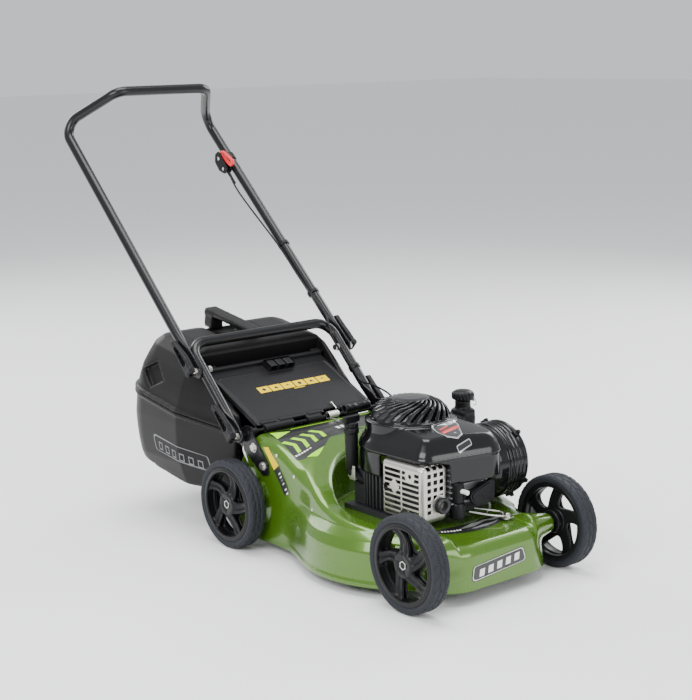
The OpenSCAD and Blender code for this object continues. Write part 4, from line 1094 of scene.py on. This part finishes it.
foot = PIVOT + LEG_DIR * 6
lower = bar_points([foot, BAR_CORNER, mirror(BAR_CORNER), mirror(foot)], 42)
bar_up = (0, -0.69, 0.72)
piece("lower_bar", *join(tube(lower, 12, 32, bar_up, squeezed(lower, 203, 24, 60)),
                         cyl((198.6, *PIVOT[1:]), (207.4, *PIVOT[1:]), 15, edge=1.5),
                         cyl((-198.6, *PIVOT[1:]), (-207.4, *PIVOT[1:]), 15, edge=1.5)),
      "black_paint", "lower_handle", replaces=("lower_handle",), angle=60)
tip = FOLD + UP_DIR * 4 + [2, 0, 0]
upper = bar_points([tip, GRIP_CORNER, GRIP_END, mirror(GRIP_END), mirror(GRIP_CORNER), mirror(tip)], 40)
upper_parts = [tube(upper, 12, 32, bar_up, squeezed(upper, 219, 40, 96))]
for side in (1, -1):
    at = stand((side * 216.6, *FOLD[1:]), UP_DIR, (side, 0, 0))
    plate = rounded([(60, -13), (-2, -16), (-17, -6), (-17, 6), (-2, 16), (60, 13)], 9, 5)
    upper_parts.append(through(at, prism(plate, 0, 4.8)))
piece("upper_bar", *join(*upper_parts), "black_paint", "upper_handle", replaces=("upper_handle",), angle=50)


def lever_shape():
    """A cam lever: a cross barrel, and a long handle with a framed, ribbed window."""
    outline = closed([(-2, -12), (30, -13), (70, -9), (88, -7), (92, 0), (88, 7), (70, 9), (30, 13), (-2, 12),
                      (-4, 0)], 6)
    window = closed([(20, 0), (24, -7.5), (50, -6.5), (72, -4.5), (76, 0), (72, 4.5), (50, 6.5), (24, 7.5)],
                    4)

    def field(x, y, z):
        side = outline_field(x, y)
        hole = window_field(x, y)
        body = smax(side, np.abs(z - 6.5 - 0.012 * (x - 40) ** 2 / 12) - 6.3, 3)
        body = smax(body, -smax(hole, 3 - z, 2), 2)
        weave = np.minimum(np.abs((x + y * 1.6) / 13 - np.round((x + y * 1.6) / 13)),
                           np.abs((x - y * 1.6) / 13 - np.round((x - y * 1.6) / 13))) * 13 - 1.3
        lattice = smax(smax(hole, weave, 1), np.abs(z - 4.5) - 2.5, 1)
        body = smin(body, lattice, 1)
        barrel = smax(np.hypot(x, z - 7.5) - 7.3, np.abs(y) - 12.4, 2)
        body = smin(body, barrel, 3)
        body = smax(body, -sd_box(x, y, z, (-20, -4.4, -4), (4.5, 4.4, 12), 1), 0.8)
        return smax(body, -z, 0.5)
    outline_field = plan_field(outline, (-20, -24), (104, 24), 0.7)
    window_field = plan_field(window, (-20, -24), (104, 24), 0.7)
    return nets(field, (-12, -18, -2), (96, 18, 18), 1.1)


cam = lever_shape()
grab = {"lower": (PIVOT, 217, LEG_DIR), "upper": (FOLD, 231, UP_DIR)}
for which, (joint, x, way) in grab.items():
    for word, side in (("right", -1), ("left", 1)):
        name = which + "_cam_lever_" + word
        at = stand((side * x, joint[1], joint[2]), way, (side, 0, 0))
        piece(name + "_grip", *through(at, cam), "black_plastic", name, replaces=(name,), angle=60)

# Bolt heads and pins with a turned look
bolts = []
for side in (1, -1):
    for y, z in ((529, 231), (497, 195)):
        bolts.append(bolt((side * 194.2, y, z), (side * 200, y, z), 8.2))
        bolts.append(cyl((side * 194.1, y, z), (side * 195.4, y, z), 10, edge=0.4))
piece("bracket_heads", *join(*bolts), "zinc_steel", "chassis", bevel=0.4)
clip = [(-203, 556, 232), (-210, 548, 226), (-212, 538, 214), (-208, 536, 200), (-205, 546, 190),
        (-204, 560, 186)]
piece("pivot_clip", *join(tube(smooth_line(clip), 2.2, 10, up=(1, 0.2, 0)),
                          tube(smooth_line([mirror(p) for p in clip]), 2.2, 10, up=(1, 0.2, 0))),
      "zinc_steel", "chassis")

# Torsion spring at the hinge
turns = np.linspace(0, 10.5 * 2 * math.pi, 30 * 10)
coil = np.c_[30 + 29 * turns / turns[-1], 548 + 9 * np.cos(turns), 262 + 9 * np.sin(turns)]
rising = np.array([(60, 548 + 4, 262 + 12.5), (60, 548 + 12, 262 + 18), (60, 548 + 24, 262 + 25),
                   (60, 572, 277), (64, 574, 278)])
falling = np.array([(30, 546, 252), (30, 538, 258), (30, 520, 259.4), (30, 508, 258.6), (24, 507, 258.4)])
spring = join(tube(coil, 1.5, 8, up=(1, 0, 0)), tube(smooth_line(rising), 1.4, 8, up=(1, 0, 0.2)),
              tube(smooth_line(falling), 1.4, 8, up=(1, 0, 0.2)))
piece("hinge_spring", *spring, "zinc_steel", "chassis", replaces=("flap_spring",), angle=180)

# ---- Throttle ----

THROTTLE = stand(GRIP_CORNER + (UPPER_START - GRIP_CORNER) * 0.2, UP_DIR, (-1, 0, 0))
pear = closed([(-40, 6), (-36, 18), (-14, 29), (14, 26), (27, 10), (22, -8), (-4, -4), (-34, -3)], 9, 6)
shell = [prism(pear, 12.7, 16.6), prism(scaled(pear, 0.94), 16.2, 17.6)]
rear_half = closed([(-40, 16.5), (-14, 29), (14, 26), (18, 16.5)], 6, 5)
shell += [prism(pear, 25.4, 28.5), prism(rear_half, 16.4, 26), cyl((8, 7, 13.5), (8, 7, 27), 3, 24)]
shell.append(through(stand((-10, 0, 0), (0, 1, 0), (1, 0, 0)), lathe(
    [(12.3, 0), (14.2, 0), (15, 0.8), (15, 19.2), (14.2, 20), (12.3, 20)], 48)))
shell.append(prism(round_rect(-16, -4, 14, 12, 3), 10, 13.2))
piece("throttle_case", *through(THROTTLE, join(*shell)), "black_plastic", "upper_handle",
      replaces=("throttle_housing",), bevel=0.9)
screws = [through(THROTTLE, cyl((-24, 12, 28.3), (-24, 12, 30.6), 4, 24)),
          through(THROTTLE, cyl((8, 7, 28.3), (8, 7, 30.2), 4.4, 24))]
piece("throttle_screws", *join(*screws), "zinc_steel", "upper_handle")
loop = closed([(10, 14), (17, 2), (20, -12), (12, -17), (-28, -28), (-40, -22), (-37, -10), (-22, -4),
               (0, -1)], 6,
              5)
gap = closed([(6, -9), (13, -12), (-26, -22), (-32, -18), (-30, -13)], 3)
loop_field = plan_field(loop, (-48, -36), (30, 24), 0.6)
gap_field = plan_field(gap, (-48, -36), (30, 24), 0.6)


def lever_field(x, y, z):
    """The throttle lever's loop."""
    body = smax(loop_field(x, y), np.abs(z - 20.3) - 3.4 - 1.2 * np.clip(-y / 20, 0, 1), 2)
    return smax(smax(body, -gap_field(x, y), 2), 3.3 - np.hypot(x - 8, y - 7), 0.5)


lever_loop = through(THROTTLE, nets(lever_field, (-44, -32, 14), (26, 20, 27), 1.1))
piece("throttle_loop", *lever_loop, "red_plastic", "throttle_lever", replaces=("throttle_lever",), angle=180)
ferrule = through(THROTTLE, join(cyl((-40, 10, 21), (-62, 11, 20), 4.2, 24, r2=3),
                                 cyl((-62, 11, 20), (-76, 12, 19), 3.0, 20)))
piece("cable_ferrule", *ferrule, "black_plastic", "upper_handle")
straps = []
band = [(13.2, -5), (14.6, -5), (15, -3), (15, 3), (14.6, 5), (13.2, 5)]
for s in (330, 170):
    at = stand((FOLD + UP_DIR * s) + [-3, 0, 0], (0, *UP_SIDE[1:]), UP_DIR)
    straps.append(through(at, lathe(band, 40)))
piece("cable_straps", *turned(join(*straps), (3, 0, 0)), "black_plastic", "upper_handle")
low_at = stand(PIVOT + LEG_DIR * 120, (1, 0, 0), LEG_DIR)
low_band = [(12.2, -6), (13.8, -6), (14.4, -4), (14.4, 4), (13.8, 6), (12.2, 6)]
piece("cable_clip", *through(low_at, lathe(low_band, 40)), "black_plastic", "lower_handle")

# ---- Stickers, all of them plain shapes ----


def slab(u, v):
    return [(-u, -v), (u, -v), (u, v), (-u, v)]


def shift(points, dx, dy, turn=0.0, k=1.0):
    """An outline scaled by k, then turned and moved."""
    p = np.asarray(points, float) * k
    c, s = math.cos(turn), math.sin(turn)
    return np.c_[p[:, 0] * c - p[:, 1] * s + dx, p[:, 0] * s + p[:, 1] * c + dy]


def marks(name, count, shape, at, step, turn, surface, mat, lift, grid=4, k=1.0):
    """One mark repeated at even steps."""
    for i in range(count):
        outline = shift(shape, at[0] + i * step[0], at[1] + i * step[1], turn, k)
        patch("%s_%d" % (name, i), outline, surface, mat, lift, grid)


def down_ray(u, v):
    return (u, v, 420.0), (0, 0, -1)


ON_DECK = (down_ray, deck_tree, "chassis")
ON_HOOD = (down_ray, housing_tree, "chassis")
ON_SIDE = (lambda u, v: ((-330.0, u, v), (1, 0, 0)), deck_tree, "chassis")
ON_NOSE = (lambda u, v: ((u, -200.0, v), (0, 1, 0)), deck_tree, "chassis")


BAND = closed([(-159, 529), (158, 529), (158, 468), (30, 460), (-5, 436), (-52, 438), (-92, 410), (-126, 399),
               (-172, 405)], 4, 3)
patch("rear_band", BAND, ON_DECK, "black", 0.3, 6)
for k, wedge in enumerate(([(-152, 527), (-108, 510), (-163, 484)],
                           [(-146, 402), (-88, 413), (-116, 396), (-126, 392)])):
    patch("rear_wedge_%d" % k, wedge, ON_DECK, "lime", 0.6, 5)
edge_line = [(-100, 524), (150, 524), (150, 521.5), (-96, 521.5)]
patch("rear_line", edge_line, ON_DECK, "lime", 0.6, 6)
CHEVRON = [(-11, -19), (0, -19), (11, 0), (0, 19), (-11, 19), (0, 0)]
marks("rear_chevron", 4, CHEVRON, (-150, 446), (31, 8.5), 0.32, ON_DECK, "lime", 0.7, 5, 1.15)
marks("rear_dash", 6, slab(3.2, 2), (-164, 415.5), (9, 1.7), 0.2, ON_DECK, "white", 0.7)
marks("rear_mark", 4, slab(4.5, 6), (4, 478), (14, 1.2), 0.1, ON_DECK, "white", 0.7)

patch("side_tag", [(500, 237), (484, 239), (446, 206), (463, 192)], ON_SIDE, "yellow", 0.5, 6)
patch("side_strip", [(463, 192), (446, 206), (409, 152), (426, 142)], ON_SIDE, "black", 0.5, 6)
for k in range(6):
    a = np.array([443.0, 188.0]) + np.array([-5.2, -7.8]) * k * (0.85 if k < 4 else 1.0)
    mark = shift(slab(4, 1.6), *a, 2.4)
    patch("side_mark_%d" % k, mark, ON_SIDE, "white" if k != 2 else "grey", 0.8, 4)


def polar(rows, n=40):
    """Rows of (angle, inner radius, outer radius) round the crank as one closed outline."""
    rows = np.asarray(rows, float)
    t = np.linspace(0, 1, n)
    at = np.linspace(0, 1, len(rows))
    ang, inner, outer = (np.interp(t, at, rows[:, c]) for c in range(3))
    ang = np.radians(ang)
    a = np.c_[outer * np.cos(ang), outer * np.sin(ang) + CRANK_Y]
    b = np.c_[inner * np.cos(ang), inner * np.sin(ang) + CRANK_Y]
    return np.concatenate([a, b[::-1]])


patch("ring_band", polar([(-119, 196, 205), (-112, 184, 213), (-98, 180, 217), (-82, 180, 218),
                          (-70, 186, 217),
                          (-60, 196, 206)]),
      ON_DECK, "black", 0.4, 5)
patch("ring_sweep", polar([(-101, 198, 200), (-92, 186, 200), (-80, 186, 193), (-72, 196, 206),
                           (-64, 198, 200)]),
      ON_DECK, "silver", 0.8, 5)
patch("ring_sweep_low", polar([(-95, 206, 208), (-86, 203, 211), (-77, 208, 212), (-72, 209, 210)]),
      ON_DECK, "grey", 0.8, 5)
for k in range(7):
    patch("ring_dash_%d" % k, polar([(-114.5 + k * 1.9, 201, 206), (-113.4 + k * 1.9, 201, 206)], 3), ON_DECK,
          "white", 0.8, 4)


plate = closed([(-92, 44), (-84, 76), (60, 88), (66, 58)], 9, 5)
patch("nose_plate_edge", plate, ON_NOSE, "black", 0.4, 5)
patch("nose_plate_rim", scaled(plate, [0.975, 0.91]), ON_NOSE, "white", 0.7, 5)
patch("nose_plate", scaled(plate, [0.95, 0.84]), ON_NOSE, "black", 1.0, 5)
marks("nose_mark", 5, [(-9, -7), (5, -7), (10, 7), (-4, 7)], (-62, 60.5), (25, 2.6), 0.09, ON_NOSE, "white",
      1.3)

shield = closed([(-26, 134), (46, 152), (44, 128), (8, 76), (-8, 72), (-30, 82), (-34, 108)], 5)
patch("hood_shield_edge", shield, ON_HOOD, "silver", 0.4, 4)
patch("hood_shield", scaled(shield, 0.90), ON_HOOD, "black", 0.7, 4)
patch("hood_bar", [(-27, 104), (28, 117), (30, 108), (20, 104), (-26, 94)], ON_HOOD, "red", 1.0, 4)
patch("hood_bar_low", [(-22, 116), (6, 123), (8, 119), (-21, 111.5)], ON_HOOD, "red", 1.0, 4)
patch("hood_dot", shift(circle(0, 0, 3, 12), -2, 88), ON_HOOD, "silver", 1.0, 3)
badge = shift(round_rect(-19, -4.5, 19, 4.5, 3, 3), -1, 61.5)
patch("hood_badge_edge", badge, ON_HOOD, "silver", 0.5, 3)
patch("hood_badge", scaled(badge, [0.9, 0.66]), ON_HOOD, "black", 0.8, 3)


def flap_ray(u, v):
    p = FLAP[0] + np.array([u, v, 60.0]) @ FLAP[1]
    return tuple(p), tuple(-FLAP[1][2])


ON_FLAP = (flap_ray, bvh(through(FLAP, flap_shape)), "flap")
for k in range(6):
    x0 = -85 + k * 34.6
    square = [(x0, 112), (x0 + 31.6, 112.6), (x0 + 31.6, 134.6), (x0, 134)]
    patch("flap_square_%d" % k, square, ON_FLAP, "yellow", 0.4, 6)
    centre = (x0 + 15.8, 123.4)
    sign = [circle(0, 0, 5.5, 14), [(-7, -4), (7, -4), (0, 6)], [(-7, -2), (0, 6), (7, -2), (0, 1)]][k % 3]
    patch("flap_sign_%d" % k, shift(sign, *centre, 0.0, 0.9), ON_FLAP, "black", 0.7, 4)
patch("flap_caption", [(8, 106.5), (40, 107), (40, 109.6), (8, 109.2)], ON_FLAP, "yellow", 0.5, 5)

side_plate = closed([(690, 140), (700, 178), (888, 206), (880, 166)], 10, 5)
for side, start in ((-1, -330.0), (1, 330.0)):
    on_tub = (lambda u, v, start=start, side=side: ((start, u, v), (-side, 0, 0)), tub_tree, "catcher")
    word = "right" if side < 0 else "left"
    patch("catcher_plate_" + word, side_plate, on_tub, "grey", 0.6, 7, hole=scaled(side_plate, [0.965, 0.86]))
    for k in range(6):
        mark = shift([(-9, -9), (6, -9), (10, 9), (-5, 9)], 722 + k * 27, 156 + k * 4.4, 0.14)
        patch("catcher_mark_%s_%d" % (word, k), mark, on_tub, "grey", 0.6, 5, hole=scaled(mark, 0.68))

# Rivets on the shoulders
rivets = []
for side in (-1, 1):
    for y, z in ((394, 191), (319, 137), (455, 226)):
        hit, normal, _, _ = deck_tree.ray_cast(Vector((side * 330.0, y, z)), Vector((-side, 0, 0)))
        if hit is not None:
            n = np.array(normal) * (1 if normal.x * side > 0 else -1)
            rivets.append(through(stand(np.array(hit), (0, 0, 1), n),
                                  lathe([(4.2, -0.5), (4, 0.8), (2.6, 2), (0, 2.4)], 20)))
piece("shoulder_rivets", *join(*rivets), "zinc_steel", "chassis")

# ---- CAD nodes shown as they are, with edges eased ----

LOOK = {"deck_paint": {"rear_axle_plates": 0.6}, "ceramic": {"spark_plug": 0.3},
        "filter_paper": {"air_filter_element": 0},
        "zinc_steel": {"axle_bolts": 0.5, "bracket_bolts": 0.5, "engine_bolts": 0.5, "crankshaft": 0.4,
                       "blade_bolts": 0.4, "handle_pivot_bolts": 0.4,
                       **{"swing_blade_%d" % k: 0.3 for k in (1, 2, 3, 4)}},
        "black_paint": {"handle_brackets": 0.7, "flap_hinge_rod": 0.5, "blade_disc": 0.6},
        "dark_steel": {"engine_base": 1.2, "muffler": 1.5},
        "cast_alloy": {"cylinder_block": 1.0, "carburettor": 0.8, "flywheel": 0.5},
        "black_plastic": {"throttle_cable_upper": 0, "throttle_cable_lower": 0, "starter_pulley": 0.5}}
for mat, widths in LOOK.items():
    for name, width in widths.items():
        nodes[name].data.materials.clear()
        nodes[name].data.materials.append(M[mat])
        if width:
            add_bevel(nodes[name], width, 2)


# ---- Camera, light and floor ----

def look(at, back, roll=0.0):
    """The matrix of a camera or lamp at a point, with its back turned towards back."""
    back = unit(back)
    x = unit(np.cross([0, 0, 1], back))
    y = np.cross(back, x)
    c, s = math.cos(roll), math.sin(roll)
    m = np.eye(4)
    m[:3, 0], m[:3, 1], m[:3, 2], m[:3, 3] = c * x + s * y, -s * x + c * y, back, at
    return Matrix(m.tolist())


camera = bpy.data.objects.new("camera", bpy.data.cameras.new("camera"))
bpy.context.scene.collection.objects.link(camera)
camera.data.sensor_fit = "HORIZONTAL"
camera.data.sensor_width = 36
camera.data.lens = 81.16
camera.data.clip_end = 50
az, el, roll = (math.radians(a) for a in (-39.39, 11.2, -1.05))
away = [math.sin(az) * math.cos(el), -math.cos(az) * math.cos(el), math.sin(el)]
camera.matrix_world = look((-2.15548, -2.76533, 1.10901), away, roll)
bpy.context.scene.camera = camera


LAMPS_AIM = np.array([0, 0, 0.35])


def softbox(name, at, size, power):
    """A rectangular lamp aimed at the middle of the machine."""
    data = bpy.data.lights.new(name, "AREA")
    data.shape = "RECTANGLE"
    data.size, data.size_y = size
    data.energy = power
    obj = bpy.data.objects.new(name, data)
    bpy.context.scene.collection.objects.link(obj)
    obj.matrix_world = look(at, np.array(at) - LAMPS_AIM)
    return obj


lamps = [softbox("key_left", (-3.2, -1.2, 2.6), (2.4, 2.0), 140),
         softbox("front_fill", (0.6, -4.2, 1.5), (2.6, 1.6), 70),
         softbox("right_rim", (3.4, 0.4, 2.2), (2.0, 2.0), 90),
         softbox("top", (0.1, 0.1, 4.0), (2.6, 2.2), 150),
         softbox("back", (-0.4, 3.6, 2.2), (2.6, 1.6), 70)]

world = bpy.data.worlds.new("studio")
bpy.context.scene.world = world
world.use_nodes = True
world.node_tree.nodes["Background"].inputs["Color"].default_value = (0.9, 0.92, 0.95, 1)
world.node_tree.nodes["Background"].inputs["Strength"].default_value = 0.85

floor_mesh = bpy.data.meshes.new("floor")
floor_mesh.from_pydata([(-30, -30, 0), (30, -30, 0), (30, 30, 0), (-30, 30, 0)], [], [(0, 1, 2, 3)])
ground = bpy.data.objects.new("floor", floor_mesh)
bpy.context.scene.collection.objects.link(ground)
pale = bpy.data.materials.new("floor_white")
pale.use_nodes = True
pale.node_tree.nodes["Principled BSDF"].inputs["Base Color"].default_value = (0.9, 0.9, 0.9, 1)
pale.node_tree.nodes["Principled BSDF"].inputs["Roughness"].default_value = 0.7
floor_mesh.materials.append(pale)
